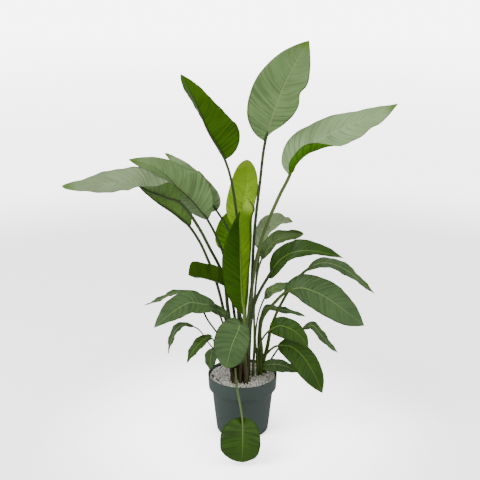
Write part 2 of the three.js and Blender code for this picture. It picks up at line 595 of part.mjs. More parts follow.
function makeBlade(leaf) {
  const { rows, columns } = leaf.small ? SMALL : LARGE;
  const ribDepth = leaf.radius * BLADE.ribDepth;
  const start = leaf.line.at(leaf.neckPlace - BLADE.startBack);
  const tip = leaf.line.at(leaf.line.length);
  const upper = [columns.map(() => start.clone())];
  const lower = [columns.map(() => start.clone())];
  for (let row = 0; row < rows; row += 1) {
    const u = (1 - Math.cos((Math.PI * (row + BLADE.firstRow)) / rows)) / 2;
    const points = columns.map((v) => bladePoint(leaf, u, v));
    const normals = columns.map((v) => bladeNormal(leaf, u, v));
    upper.push(points.map((point, i) => point.clone().addScaledVector(normals[i], BLADE.thickness / 2)));
    lower.push(points.map((point, i) => {
      const rib = columns[i] === 0 ? ribDepth * (1 - u) : 0;
      return point.clone().addScaledVector(normals[i], -BLADE.thickness / 2 - rib);
    }));
  }
  upper.push(columns.map(() => tip.clone()));
  lower.push(columns.map(() => tip.clone()));
  return toSolid(sheetSolid(upper, lower));
}

function makeLeaf(leaf) {
  const stalk = toSolid(ringSolid(stalkRings(leaf, 0)));
  return toGeometry(stalk.add(makeBlade(leaf)));
}

// The plain hole in soil and gravel that a stalk stands in.
function stalkHole(leaf) {
  const rings = stalkRings(leaf, CLEARANCE);
  const below = rings[0].map((point) => point.clone().setZ(ROOT.bottom - ROOT.holeBelow));
  return toSolid(ringSolid([below, ...rings]));
}

// ---------- pot, soil and gravel ----------

function potRadiusAt(height) {
  return THREE.MathUtils.mapLinear(height, 0, POT.neckHeight, POT.footRadius, POT.neckRadius);
}

function lathe(profile) {
  const points = profile.map(([radius, height]) => new THREE.Vector2(radius, height));
  const solid = new THREE.LatheGeometry(points, POT.sides);
  solid.rotateX(Math.PI / 2);
  return solid;
}

function peg(radius, length, sides) {
  return new THREE.CylinderGeometry(radius, radius, length, sides);
}

function makePot() {
  const { wall, floor, height, footRound, footChamfer } = POT;
  const outside = [
    [0, 0],
    [POT.footRadius - footRound, 0],
    [potRadiusAt(footChamfer) - footChamfer, footChamfer],
    [potRadiusAt(footRound), footRound],
    [POT.neckRadius, POT.neckHeight],
    [POT.rimBottomRadius - POT.rimUndercut, POT.rimBottom - POT.rimUndercutHeight],
    [POT.rimBottomRadius, POT.rimBottom],
    [POT.rimRadius, height - POT.lipHeight],
    [POT.rimRadius - POT.lipWidth, height],
  ];
  const inside = [
    [POT.rimRadius - wall, height],
    [POT.rimBottomRadius - wall, POT.rimBottom + INNER.rim],
    [POT.neckRadius - wall, POT.neckHeight + INNER.neck],
    [potRadiusAt(footRound) - wall, footRound + INNER.foot],
    [POT.footRadius - footRound - INNER.inset, floor],
    [0, floor],
  ];
  let pot = toSolid(lathe([...outside, ...inside]));
  for (let i = 0; i < SIDE_HOLE.count; i += 1) {
    const hole = peg(SIDE_HOLE.radius, SIDE_HOLE.cutLength, SIDE_HOLE.sides);
    hole.rotateZ(Math.PI / 2);
    hole.translate(potRadiusAt(SIDE_HOLE.height), 0, SIDE_HOLE.height);
    hole.rotateZ(THREE.MathUtils.degToRad(SIDE_HOLE.firstAngle + (360 * i) / SIDE_HOLE.count));
    pot = pot.subtract(toSolid(hole));
  }
  for (let i = 0; i < FLOOR_HOLE.count; i += 1) {
    const hole = peg(FLOOR_HOLE.radius, FLOOR_HOLE.cutLength, FLOOR_HOLE.sides);
    hole.rotateX(Math.PI / 2);
    hole.translate(FLOOR_HOLE.ringRadius, 0, 0);
    hole.rotateZ((2 * Math.PI * i) / FLOOR_HOLE.count);
    pot = pot.subtract(toSolid(hole));
  }
  return toGeometry(pot);
}

function makeSoil(leaves) {
  const gap = POT.wall + CLEARANCE;
  const floor = POT.floor + CLEARANCE;
  const profile = [
    [0, floor],
    [POT.footRadius - POT.footRound - INNER.inset - INNER.soil, floor],
    [potRadiusAt(POT.footRound) - gap, POT.footRound + INNER.foot + INNER.soil],
    [POT.neckRadius - gap, POT.neckHeight + INNER.neck],
    [POT.rimBottomRadius - gap, POT.rimBottom + INNER.rim + INNER.soil],
    [POT.rimBottomRadius - gap, SOIL_TOP],
    [0, SOIL_TOP],
  ];
  let soil = toSolid(lathe(profile));
  for (const leaf of leaves) soil = soil.subtract(stalkHole(leaf));
  return toGeometry(soil);
}

// The gravel is one layer, raised into stones: every third point of a six-sided net is a
// stone's top, the points between are the gaps.
function makeGravel(leaves) {
  let seed = GRAVEL.seed;
  const random = () => {
    seed = (seed * RANDOM.factor) % RANDOM.modulus;
    return seed / RANDOM.modulus;
  };
  const radius = POT.rimBottomRadius - POT.wall - CLEARANCE;
  const top = [new THREE.Vector3(0, 0, GRAVEL.gap + GRAVEL.stone)];
  for (let ring = 1; ring <= GRAVEL.rings; ring += 1) {
    const edge = ring === GRAVEL.rings;
    for (let step = 0; step < ring * 6; step += 1) {
      const sector = Math.floor(step / ring);
      const corner = (angle) => new THREE.Vector3(Math.cos(angle), Math.sin(angle), 0);
      const share = (step - sector * ring) / ring;
      const hexagon = corner((Math.PI * sector) / 3).lerp(corner((Math.PI * (sector + 1)) / 3), share);
      const angle = Math.atan2(hexagon.y, hexagon.x);
      const distance = (radius * ring) / GRAVEL.rings;
      const stone = !edge && (ring + step - sector * ring) % GRAVEL.stoneEvery === 0;
      const wander = edge ? 0 : GRAVEL.wander;
      top.push(new THREE.Vector3(
        distance * Math.cos(angle) + wander * (random() * 2 - 1),
        distance * Math.sin(angle) + wander * (random() * 2 - 1),
        GRAVEL.gap + (stone ? GRAVEL.stone + GRAVEL.stoneSpread * (random() * 2 - 1) : 0),
      ));
    }
  }
  const ringStart = (ring) => (ring === 0 ? 0 : 1 + 3 * ring * (ring - 1));
  const corners = [];
  for (let ring = 1; ring <= GRAVEL.rings; ring += 1) {
    const [outer, inner] = [ringStart(ring), ringStart(ring - 1)];
    const outerCount = ring * 6;
    const innerCount = Math.max(1, (ring - 1) * 6);
    for (let sector = 0; sector < 6; sector += 1) {
      for (let step = 0; step < ring; step += 1) {
        const a = outer + sector * ring + step;
        const b = outer + ((sector * ring + step + 1) % outerCount);
        const c = inner + ((sector * (ring - 1) + step) % innerCount);
        corners.push(a, b, c);
        if (step > 0) {
          const d = inner + ((sector * (ring - 1) + step - 1) % innerCount);
          corners.push(a, c, d);
        }
      }
    }
  }
  const edgeStart = ringStart(GRAVEL.rings);
  const edgeCount = GRAVEL.rings * 6;
  const points = [...top];
  for (let i = 0; i < edgeCount; i += 1) points.push(top[edgeStart + i].clone().setZ(GRAVEL_BOTTOM));
  const middle = points.push(new THREE.Vector3(0, 0, GRAVEL_BOTTOM)) - 1;
  for (let i = 0; i < edgeCount; i += 1) {
    const [a, b] = [edgeStart + i, edgeStart + ((i + 1) % edgeCount)];
    const [c, d] = [top.length + i, top.length + ((i + 1) % edgeCount)];
    corners.push(a, c, d, a, d, b, middle, d, c);
  }
  let gravel = toSolid(fromPoints(points, corners));
  for (const leaf of leaves) gravel = gravel.subtract(stalkHole(leaf));
  return toGeometry(gravel);
}

// ---------- the plant in its pot ----------

function addPiece(group, name, geometry, material) {
  const mesh = new THREE.Mesh(geometry, material);
  mesh.name = name;
  group.add(mesh);
}

const YOUNG_LEAVES = ['leaf_rolled', 'leaf_back_upright'];
const plant = new THREE.Group();
const leaves = LEAVES.map(prepareLeaf);
addPiece(plant, 'pot', makePot(), FINISH.pot);
addPiece(plant, 'soil', makeSoil(leaves), FINISH.soil);
addPiece(plant, 'gravel', makeGravel(leaves), FINISH.gravel);
for (const leaf of leaves) {
  const finish = YOUNG_LEAVES.includes(leaf.name) ? FINISH.youngLeaf : FINISH.leaf;
  addPiece(plant, leaf.name, makeLeaf(leaf), finish);
}

export default plant;
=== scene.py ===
"""The looks of a potted bird of paradise: long-stalked leaves, a nursery pot, soil and gravel.

Lengths in the tables are millimetres in the part's own frame; meshes are made in metres.
Every leaf is modelled as three sheets that move to the leaf's own formula: the blade's upper
side, its underside, and the stalk that runs on as the midrib under the blade.
"""
import math
import random

import bmesh
import bpy
import numpy as np
from mathutils import Matrix, Vector


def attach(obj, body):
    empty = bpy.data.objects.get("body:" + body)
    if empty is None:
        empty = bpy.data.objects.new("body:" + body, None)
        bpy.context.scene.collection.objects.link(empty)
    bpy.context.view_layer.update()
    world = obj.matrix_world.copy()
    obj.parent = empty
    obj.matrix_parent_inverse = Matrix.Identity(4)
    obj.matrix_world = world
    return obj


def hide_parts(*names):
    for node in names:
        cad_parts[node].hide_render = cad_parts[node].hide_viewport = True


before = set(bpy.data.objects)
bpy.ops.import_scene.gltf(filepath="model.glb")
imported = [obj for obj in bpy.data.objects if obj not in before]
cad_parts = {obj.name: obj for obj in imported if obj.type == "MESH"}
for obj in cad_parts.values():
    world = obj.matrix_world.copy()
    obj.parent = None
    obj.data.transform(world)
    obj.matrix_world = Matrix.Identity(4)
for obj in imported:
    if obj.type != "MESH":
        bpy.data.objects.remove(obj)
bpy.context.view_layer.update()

MM = 0.001

# ---------------------------------------------------------------- driving sizes, in mm

# the pot
POT_HEIGHT = 210
POT_WALL = 2.5
POT_FLOOR = 3
POT_STEPS = 128
RIM_RADIUS = 120
RIM_FOOT_RADIUS = 117.5
RIM_FOOT = 162
NECK_RADIUS = 105.5
NECK_HEIGHT = 148
FOOT_RADIUS = 90
FOOT_ROUND = 8
STANDING_RADIUS = FOOT_RADIUS - 20
FLOOR_LIFT = 0.8
LEDGE_ROUND = 2.5
LIP_ROUND = 1.3
SIDE_HOLE_RADIUS = 6
SIDE_HOLE_HEIGHT = 29
SIDE_HOLE_ANGLES = (-8, 82, 172, 262)
FLOOR_HOLE_RADIUS = 7
FLOOR_HOLE_RING = 55
FLOOR_HOLE_COUNT = 6
HOLE_SIDES = 24
DRILL_LENGTH = 30

# the soil
SOIL_TOP = 189
SOIL_GAP = 0.4
CRUMBS_TOP = SOIL_TOP + 5
CRUMB_HEIGHT = 1.5
SOIL_RINGS = 24
SOIL_STEPS = 96
SOIL_SEED = 3
BARE_SPOTS = [(-88, -33, 9), (-104, 5, 6)]  # the place and the radius of each spot of soil

# the gravel
BED_RADIUS = 114.5
GRAVEL_LEVEL = 196.5
GRAVEL_SEED = 11
GRAIN_COUNT = 2500
GRAIN_SIZE = (2.1, 4.1)
GRAIN_LIFT = (-1.5, 3.5)
GRAIN_SPIN = 6.28  # radians
GRAIN_WIDTH = (0.7, 1)
GRAIN_FLATNESS = (0.55, 0.9)
GRAIN_CRUSH = 0.16
PALE_GRAINS = 0.6  # below 1, more stones are pale than dark

# the stalks
BURIED_END = 140
BELOW_SOIL_TOP = 5
UPRIGHT = 30  # a stalk leaves the soil straight up this far
SHORT_UPRIGHT = 15
STALK_SIDES = 14
STALK_ROW = 8
STALK_FOOT_PLACE = 60  # the sheath ends here, along the leaf's line
STALK_SLIM_SHARE = 0.6  # and the stalk is slim from this share of the way to the neck
STALK_LOWER_GIRTH = 1.15
STALK_TAPER = 0.85
STALK_FLATNESS = 0.92
CHANNEL_DEPTH = 0.2
CHANNEL_WIDTH = 0.16

# the blades
BLADE_THICKNESS = 0.9
EDGE_TAPER = 3
END_TAPER = 0.01
BLADE_COLUMNS = 24
SMALL_BLADE_COLUMNS = 16
COLUMN_CROWDING = 1.6  # columns stand closer at the midrib
NECK_ROUNDNESS = 2.4
LOBE_ROUNDNESS = 1.5
CURL_STEPS = 12
WAVE_LAG = 0.23
FRILL_HEIGHT = 1.0
FRILL_RATE = 2.7

# the veins and midribs of the blades
FEWEST_VEINS = 10
VEIN_PITCH = 9.0
VEIN_SWEEP = 0.16
SWEEP_ACROSS = 1.3
SWEEP_ALONG = 0.8
ROWS_PER_VEIN = 4
PLEAT_HEIGHT = 0.35
PLEAT_BEATS = (0.9, 0.37)  # pleats grow deeper and shallower at these rates
PLEAT_FROM_RIB = (2, 12)
PLEAT_FROM_EDGE = (0, 10)
GROOVE_DEPTH = 1.0
GROOVE_WIDTH = 3.0
MIDRIB_TAPER = 0.8
MIDRIB_START = 0.08

STEP_ALONG = 0.004  # small steps, to find directions on a line or sheet
STEP_ACROSS = 0.02
TOUCHING = 1e-6  # closer than this is in the same place

UPPER, UNDER, STALK = range(3)  # a leaf's materials

# ---------------------------------------------------------------- the leaves


def half(width, fold=(5, 5, 5), curl=(5, 5, 5), fullness=2, widest=0.36, base=0.55, blunt=1, lobe=12, lip=1):
    """One half of a blade, seen from above with the tip ahead.

    Fold is the angle at which the half rises from the midrib, and curl how much further it
    bends up to its edge, in degrees at even places from neck to tip. Lip crowds the curl at
    the edge. Widest is the place of the greatest width, fullness and blunt shape the half
    towards the tip and base towards the neck, and lobe is how far its lower corner reaches
    back past the neck.
    """
    return dict(width=width, fold=fold, curl=curl, fullness=fullness, widest=widest, base=base,
                blunt=blunt, lobe=lobe, lip=lip)


def tear(side, place, depth, reach):
    """A bite out of one half's edge: its place along the blade, its depth as a share, its reach."""
    return dict(side=side, place=place, depth=depth, reach=reach)


LEAVES = []


def leaf(name, root, girth, stalk, neck, rib, face, left, right, small=False, tears=(), wave=(3, 3, 0),
         finish="soft", stem="brown"):
    """Adds a leaf: its root in the soil, the points of its stalk, neck and midrib, and the way
    its upper side looks from neck to tip. Girth is the stalk's radius at the neck and at the soil."""
    LEAVES.append(dict(name=name, root=root, girth=girth, stalk=stalk, neck=neck, rib=rib, face=face,
                       left=left, right=right, small=small, tears=tears, wave=wave,
                       finish=finish, stem=stem))


leaf(
    "leaf_top", root=(20, 2), girth=(5, 8),
    stalk=[(30, 0, 480), (40, -5, 735), (55, -10, 880)], neck=(75, -25, 1045),
    rib=[(100, -40, 1135), (145, -50, 1250), (205, -55, 1355)],
    face=[(-0.1, -1, 0.15), (-0.25, -1, 0.3)],
    left=half(92, curl=(10, 10, 20), fullness=1.85, widest=0.4, base=0.6, blunt=0.9),
    right=half(87, fold=(5, 10, 5), curl=(120, 165, 30, 10, 10), fullness=2.15, widest=0.4, base=2,
               lip=4),
    tears=[tear("right", 0.53, 0.26, 0.09)],
    finish="mild_sheen")
leaf(
    "leaf_top_left", root=(3, -3), girth=(4.5, 7),
    stalk=[(5, 0, 480), (-15, -20, 750)], neck=(-60, -50, 985),
    rib=[(-110, -75, 1080), (-150, -95, 1180), (-190, -110, 1260)],
    face=[(0.3, 1, 0.1), (0.3, 1, 0.3)],
    left=half(92, fold=(5, 5, 10), curl=(10, 10, 10), fullness=0.95, widest=0.32, base=0.6,
              blunt=0.8, lobe=8),
    right=half(85, fold=(68, 60, 30), curl=(0, 0, 0), fullness=1.3, widest=0.3, blunt=0.7),
    finish="deep")
leaf(
    "leaf_top_right", root=(16, -16), girth=(6, 8),
    stalk=[(30, -20, 525), (50, -20, 650), (80, -25, 755), (120, -30, 855)], neck=(155, -35, 935),
    rib=[(160, -40, 965), (185, -50, 1005), (235, -60, 1040), (285, -70, 1070), (385, -90, 1120),
         (480, -110, 1170)],
    face=[(-0.5, -0.85, 0.5), (-0.3, -0.8, 0.6), (0, -0.5, 0.8)],
    left=half(70, fold=(0, 0, 0), curl=(-10, -10, 0), fullness=1.6, widest=0.3, base=0.5),
    right=half(84, fold=(0, 0, 0, -5, -10), curl=(200, 230, 60, 0, 0), fullness=1.6, widest=0.35,
               blunt=0.8, lip=1.6),
    tears=[tear("right", 0.76, 0.2, 0.05)],
    finish="palest_sheen", stem="light")
leaf(
    "leaf_long_left", root=(-18, -24), girth=(5.5, 8),
    stalk=[(-50, -15, 455), (-65, -20, 575), (-110, -25, 675), (-145, -25, 745)], neck=(-215, -20, 835),
    rib=[(-255, -30, 855), (-300, -45, 875), (-340, -60, 900), (-380, -75, 910),
         (-475, -105, 910), (-570, -125, 910)],
    face=[(0.05, -0.3, 1), (0, -0.22, 1)],
    left=half(76, fold=(80, 5, 0), curl=(30, 0, -10), fullness=1.7, blunt=0.6),
    right=half(72, fold=(35, 14, 10), curl=(10, 10, -10), fullness=1.1, blunt=0.6),
    finish="pale_sheen")
leaf(
    "leaf_under_long_left", root=(-29, -9), girth=(5, 7),
    stalk=[(-65, 0, 445), (-90, 10, 545), (-115, 15, 615), (-150, 25, 690)], neck=(-185, 30, 740),
    rib=[(-230, 30, 780), (-280, 25, 815), (-315, 20, 845), (-345, 20, 875)],
    face=[(0.3, 1, 0.3), (0.3, 1, 0.3)],
    left=half(45, fold=(0, 10, 10), curl=(10, 10, 10)),
    right=half(50, fold=(80, 70, 40), curl=(-10, -10, 0)))
leaf(
    "leaf_broad_left", root=(-13, -7), girth=(4.5, 7),
    stalk=[(-35, 20, 470), (-75, 40, 660)], neck=(-125, 65, 755),
    rib=[(-175, 80, 815), (-220, 90, 855), (-260, 100, 895), (-310, 110, 925), (-385, 125, 940)],
    face=[(-0.1, -0.9, 0.35), (0.1, -0.8, 0.5)],
    left=half(75, fold=(-50, -50, -40), curl=(-10, -10, 20), fullness=1, base=0.75, blunt=0.75),
    right=half(90, fold=(10, 10, 5), curl=(20, 10, 10), fullness=0.8, base=0.75, blunt=0.95),
    finish="mild_sheen")
leaf(
    "leaf_behind_broad_left", root=(-8, 10), girth=(4, 6),
    stalk=[(-15, 50, 460), (-50, 75, 710)], neck=(-95, 110, 775),
    rib=[(-120, 120, 815), (-160, 135, 865), (-215, 150, 920), (-265, 160, 955)],
    face=[(0.2, -0.9, 0.4), (0, -0.8, 0.6)],
    left=half(60, fold=(10, 5, 5), curl=(10, 10, 10), fullness=1, widest=0.2, blunt=0.75),
    right=half(38, fold=(10, 5, 5), curl=(30, 10, 10), fullness=1, widest=0.2, blunt=0.75),
    finish="palest_sheen")
leaf(
    "leaf_back_upright", root=(6, 14), girth=(4, 6),
    stalk=[(10, 40, 465)], neck=(0, 60, 715),
    rib=[(0, 60, 785), (15, 60, 870), (15, 55, 955)],
    face=[(0, -1, 0.1), (0, -1, 0.2)],
    left=half(60, fold=(10, 10, 10), curl=(10, 10, 20), fullness=3, widest=0.4, base=0.7, blunt=0.5),
    right=half(44, fold=(40, 40, 40), curl=(-20, -20, -20), fullness=3, widest=0.4, blunt=0.5),
    finish="young", stem="pale")
leaf(
    "leaf_back_left", root=(-22, 7), girth=(4, 6),
    stalk=[(-15, 65, 380)], neck=(-35, 115, 620),
    rib=[(-35, 120, 675), (-30, 120, 730), (-15, 120, 780)],
    face=[(0, -1, 0.1), (0, -1, 0.1)],
    left=half(60, fold=(-5, 0, 10), curl=(10, 10, 10), widest=0.3),
    right=half(52, fold=(10, 10, 10), curl=(10, 10, 10), widest=0.3),
    finish="lit")
leaf(
    "leaf_middle_upright", root=(-6, -42), girth=(4.5, 9),
    stalk=[(0, -60, 340)], neck=(5, -60, 460),
    rib=[(5, -60, 540), (5, -60, 635), (0, -60, 730), (-10, -55, 810)],
    face=[(0, -1, 0.1), (0, -1, 0.1)],
    left=half(74, fold=(5, 5, 10), curl=(5, 5, 10), fullness=2.2, widest=0.48, base=0.8),
    right=half(30, fold=(-60, -60, -60), curl=(10, 10, 10), fullness=1.9, widest=0.4),
    finish="bright")
leaf(
    "leaf_rolled", root=(11, -52), girth=(5.5, 9.5),
    stalk=[(5, -80, 350)], neck=(5, -90, 480),
    rib=[(0, -90, 585), (-5, -90, 720), (-5, -90, 815), (15, -90, 860)],
    face=[(0.9, -0.4, 0), (0.9, -0.4, 0)],
    left=half(58, fold=(0, 0, 0), curl=(150, 150, 150), fullness=5, widest=0.9, base=1.5, lobe=0),
    right=half(58, fold=(0, 0, 0), curl=(165, 165, 165), fullness=5, widest=0.9, base=1.5, lobe=0),
    wave=(0, 1, 0),
    finish="young", stem="pale")
leaf(
    "leaf_level_left", root=(0, -26), girth=(4, 6),
    stalk=[(-10, -25, 445)], neck=(-55, -50, 550),
    rib=[(-90, -60, 570), (-140, -65, 585), (-180, -60, 590)],
    face=[(0, 1, 0.1), (0, 1, 0.1)],
    left=half(54, fold=(0, 0, 0), curl=(0, 0, 0), fullness=12, widest=0.55, base=0.4, blunt=0.5,
              lobe=3),
    right=half(20, fold=(80, 70, 20), curl=(0, 0, 0), base=0.8, lobe=3),
    finish="bright")
leaf(
    "leaf_torn_right", root=(19, 19), girth=(3.5, 5.5), small=True,
    stalk=[(40, 40, 465)], neck=(65, 60, 650),
    rib=[(75, 70, 680), (95, 85, 705), (125, 100, 725), (175, 120, 720)],
    face=[(-0.7, -0.6, 0.6), (-0.3, -0.8, 0.5)],
    left=half(50, fold=(10, 10, 10), curl=(10, 10, 10), fullness=1.8, widest=0.42, base=0.5),
    right=half(26, fold=(20, 20, 20), curl=(20, 20, 20), fullness=1.8),
    tears=[tear("left", 0.82, 0.4, 0.05)],
    finish="pale_sheen")
leaf(
    "leaf_curled_right", root=(37, -4), girth=(3.5, 5.5), small=True,
    stalk=[(41, 6, 300), (42, 30, 470)], neck=(70, 20, 630),
    rib=[(85, 20, 655), (110, 30, 680), (155, 30, 695), (205, 30, 705)],
    face=[(-0.3, -0.7, 0.7), (-0.3, -0.5, 0.8)],
    left=half(32, curl=(10, 60, 240), fullness=5, widest=0.6, blunt=0.6, lip=1.5),
    right=half(26, fold=(20, 20, 10), curl=(10, 10, 10), fullness=4, blunt=0.6),
    finish="light", stem="light")
leaf(
    "leaf_arched_right", root=(16, -34), girth=(5.5, 7.5),
    stalk=[(25, -35, 415), (50, -40, 510)], neck=(95, -40, 595),
    rib=[(105, -45, 615), (135, -50, 650), (180, -65, 675), (225, -75, 680), (270, -85, 675),
         (330, -95, 660)],
    face=[(-0.6, -0.6, 0.7), (0.1, -0.7, 0.8)],
    left=half(42, fold=(10, 5, 5), curl=(10, 10, 10), fullness=1.8, base=1),
    right=half(26, fold=(0, -10, -10), curl=(-30, -30, -20), fullness=1.4, widest=0.15, base=0.4,
               lobe=24),
    finish="deep")
leaf(
    "leaf_drooping_right", root=(70, 36), girth=(5, 8),
    stalk=[(85, 35, 285), (100, 30, 370), (135, 40, 455)], neck=(225, 50, 575),
    rib=[(260, 50, 595), (310, 40, 595), (355, 30, 575), (400, 25, 540), (455, 20, 490)],
    face=[(-0.1, -0.4, 1), (0.4, -0.5, 0.8)],
    left=half(30, fold=(0, 0, 0), curl=(0, 0, 0), fullness=1.6, base=0.9),
    right=half(26, fold=(0, 0, 0), curl=(0, 0, 0), fullness=1.6),
    stem="green")
leaf(
    "leaf_broad_right", root=(62, 17), girth=(5.5, 9),
    stalk=[(65, 30, 280), (60, 20, 350), (70, 5, 415), (105, -10, 470)], neck=(150, -25, 520),
    rib=[(195, -45, 540), (245, -60, 530), (295, -75, 505), (345, -85, 470), (405, -95, 425)],
    face=[(-0.1, -0.8, 0.7), (0.4, -0.8, 0.5)],
    left=half(56, fullness=2.2, widest=0.45),
    right=half(60, curl=(-5, -5, -5), fullness=3, widest=0.45, base=1, lobe=0),
    stem="green")
leaf(
    "leaf_short_right", root=(54, 29), girth=(3, 4), small=True,
    stalk=[(45, 35, 335)], neck=(80, 25, 485),
    rib=[(95, 15, 510), (120, 20, 520), (185, 25, 530)],
    face=[(-0.2, -0.7, 0.6), (0, -0.6, 0.8)],
    left=half(15), right=half(22),
    finish="mild_sheen", stem="green")
leaf(
    "leaf_slim_right", root=(58, 42), girth=(3, 4), small=True,
    stalk=[(55, 40, 335)], neck=(70, 50, 415),
    rib=[(85, 60, 430), (125, 60, 425), (175, 55, 415), (225, 45, 400)],
    face=[(-0.1, -0.5, 0.9), (0.2, -0.5, 0.9)],
    left=half(11), right=half(18),
    stem="green")
leaf(
    "leaf_low_right_upper", root=(53, 5), girth=(3.5, 5), small=True,
    stalk=[(50, -10, 290), (65, -30, 345)], neck=(100, -60, 400),
    rib=[(125, -70, 415), (155, -80, 410), (190, -95, 390), (220, -105, 350)],
    face=[(-0.2, -0.8, 0.6), (0.3, -0.9, 0.5)],
    left=half(32), right=half(42),
    finish="deep", stem="green")
leaf(
    "leaf_low_right_lower", root=(80, 22), girth=(4, 5),
    stalk=[(75, 10, 260), (95, 0, 295)], neck=(130, -40, 330),
    rib=[(160, -60, 335), (195, -75, 315), (230, -90, 270), (270, -110, 185)],
    face=[(-0.1, -0.8, 0.6), (0.3, -0.9, 0.2)],
    left=half(36, fullness=2.4, widest=0.45), right=half(50, fullness=2.4, widest=0.45),
    finish="deep", stem="green")
leaf(
    "leaf_small_right", root=(86, 40), girth=(3, 4), small=True,
    stalk=[(100, 25, 250), (130, 20, 300)], neck=(215, 10, 375),
    rib=[(240, 5, 385), (260, 0, 365), (285, -10, 335), (330, -15, 290)],
    face=[(0, -0.6, 0.8), (0.5, -0.7, 0.6)],
    left=half(16), right=half(18),
    stem="green")
leaf(
    "leaf_low_right_level", root=(66, 3), girth=(2.5, 4), small=True,
    stalk=[], neck=(75, -40, 255),
    rib=[(105, -50, 265), (145, -55, 260), (195, -60, 240)],
    face=[(0, -0.7, 0.7), (0.2, -0.7, 0.7)],
    left=half(20), right=half(28),
    stem="green")
leaf(
    "leaf_slim_left", root=(-38, 6), girth=(3.5, 5.5), small=True,
    stalk=[(-70, 0, 330), (-115, -10, 405)], neck=(-185, -15, 515),
    rib=[(-225, -20, 515), (-265, -30, 500), (-305, -40, 485), (-330, -50, 480)],
    face=[(0.1, -0.2, 1), (-0.3, -0.5, 0.8)],
    left=half(10), right=half(14))
leaf(
    "leaf_drooping_left", root=(-34, -44), girth=(3.5, 5.5),
    stalk=[(-60, -56, 400)], neck=(-100, -60, 480),
    rib=[(-140, -75, 495), (-175, -90, 505), (-215, -110, 490), (-250, -130, 470), (-290, -150, 440)],
    face=[(0.3, -0.6, 0.8), (-0.3, -0.8, 0.6)],
    left=half(42), right=half(45, fullness=1.9, widest=0.48))
leaf(
    "leaf_inner_left", root=(-36, -32), girth=(3, 5), small=True,
    stalk=[(-37, -38, 360)], neck=(-50, -36, 435),
    rib=[(-85, -35, 460), (-120, -30, 475), (-160, -20, 480)],
    face=[(0.2, -0.95, 0.3), (0.1, -0.95, 0.3)],
    left=half(18), right=half(14))
leaf(
    "leaf_small_left_outer", root=(-36, 18), girth=(2.5, 4), small=True,
    stalk=[(-60, 14, 255), (-105, 5, 305)], neck=(-175, -60, 410),
    rib=[(-205, -65, 415), (-225, -75, 400), (-240, -85, 365), (-250, -90, 320)],
    face=[(0, -0.3, 1), (-0.7, -0.6, 0.3)],
    left=half(15), right=half(16))
leaf(
    "leaf_small_left_inner", root=(-33, -57), girth=(2.5, 4), small=True,
    stalk=[(-85, -75, 330)], neck=(-110, -90, 380),
    rib=[(-130, -95, 375), (-150, -110, 360), (-170, -120, 335), (-185, -130, 305)],
    face=[(0.1, -0.5, 0.9), (-0.6, -0.8, 0.4)],
    left=half(20), right=half(20),
    finish="deep")
leaf(
    "leaf_front", root=(-8, -60), girth=(4, 6),
    stalk=[(0, -98, 350), (0, -106, 420)], neck=(-5, -125, 445),
    rib=[(-20, -145, 415), (-35, -165, 385), (-45, -185, 355), (-55, -200, 320)],
    face=[(0, -0.9, 0.7), (0, -1, 0.35)],
    left=half(54, fold=(0, 0, -5), curl=(0, 0, -10), fullness=2.6, widest=0.5, base=0.7, blunt=0.6),
    right=half(64, fold=(0, 0, -5), curl=(0, 0, -10), fullness=2.4, widest=0.32, base=0.6, blunt=0.7))
leaf(
    "leaf_front_low", root=(-22, -54), girth=(3.5, 4.5),
    stalk=[(-24, -72, 258), (-20, -135, 232)], neck=(0, -237, 132),
    rib=[(0, -260, 110), (0, -278, 80), (-5, -280, 20)],
    face=[(0, -0.9, 0.4), (0, -1, -0.3)],
    left=half(58, fold=(0, 0, -5), curl=(-5, -5, -5), fullness=3.2, widest=0.42, base=0.4,
              blunt=0.5, lobe=28),
    right=half(74, fold=(0, 0, -5), curl=(-5, -5, -5), fullness=3.2, widest=0.42, base=0.4,
               blunt=0.5, lobe=28),
    finish="deep", stem="light")
leaf(
    "leaf_front_left", root=(-39, -20), girth=(2.5, 4), small=True,
    stalk=[(-66, -13, 284), (-80, -15, 308), (-92, -17, 317)], neck=(-102, -19, 309),
    rib=[(-107, -21, 291), (-111, -24, 265), (-112, -27, 232)],
    face=[(-0.3, -0.95, 0.3), (-0.3, -0.95, 0.1)],
    left=half(24, base=1, lobe=2), right=half(22, base=1, lobe=2))

# ---------------------------------------------------------------- the shape of a leaf


class GrowthLine:
    """A smooth line through points, in cubic pieces by chord length."""

    def __init__(self, points):
        self.points = np.array(points, float)
        chords = np.linalg.norm(np.diff(self.points, axis=0), axis=1)
        self.places = np.concatenate([[0], np.cumsum(chords)])
        self.length = self.places[-1]
        steps = np.diff(self.points, axis=0) / chords[:, None]
        before, after = chords[:-1, None], chords[1:, None]
        inner = (steps[:-1] * after + steps[1:] * before) / (before + after)
        first = 1.5 * steps[0] - 0.5 * inner[0]
        last = 1.5 * steps[-1] - 0.5 * inner[-1]
        self.slopes = np.vstack([first, inner, last])

    def at(self, place):
        place = np.clip(place, 0, self.length)
        piece = np.clip(np.searchsorted(self.places, place, side="left") - 1, 0, len(self.points) - 2)
        span = (self.places[piece + 1] - self.places[piece])[:, None]
        x = (place - self.places[piece])[:, None] / span
        return ((2 * x**3 - 3 * x**2 + 1) * self.points[piece]
                + (x**3 - 2 * x**2 + x) * span * self.slopes[piece]
                + (-2 * x**3 + 3 * x**2) * self.points[piece + 1]
                + (x**3 - x**2) * span * self.slopes[piece + 1])

    def direction(self, place):
        step = self.length * STEP_ALONG
        return unit(self.at(place + step) - self.at(place - step))


def unit(vectors):
    """The same directions at length 1."""
    return vectors / np.maximum(np.linalg.norm(vectors, axis=-1, keepdims=True), 1e-9)


def along(values, u):
    """Values given at even places from neck to tip, blended along the blade."""
    values = np.array(values, float)
    places = np.linspace(0, 1, len(values))
    if values.ndim == 1:
        return np.interp(u, places, values)
    return np.stack([np.interp(u, places, column) for column in values.T], axis=-1)


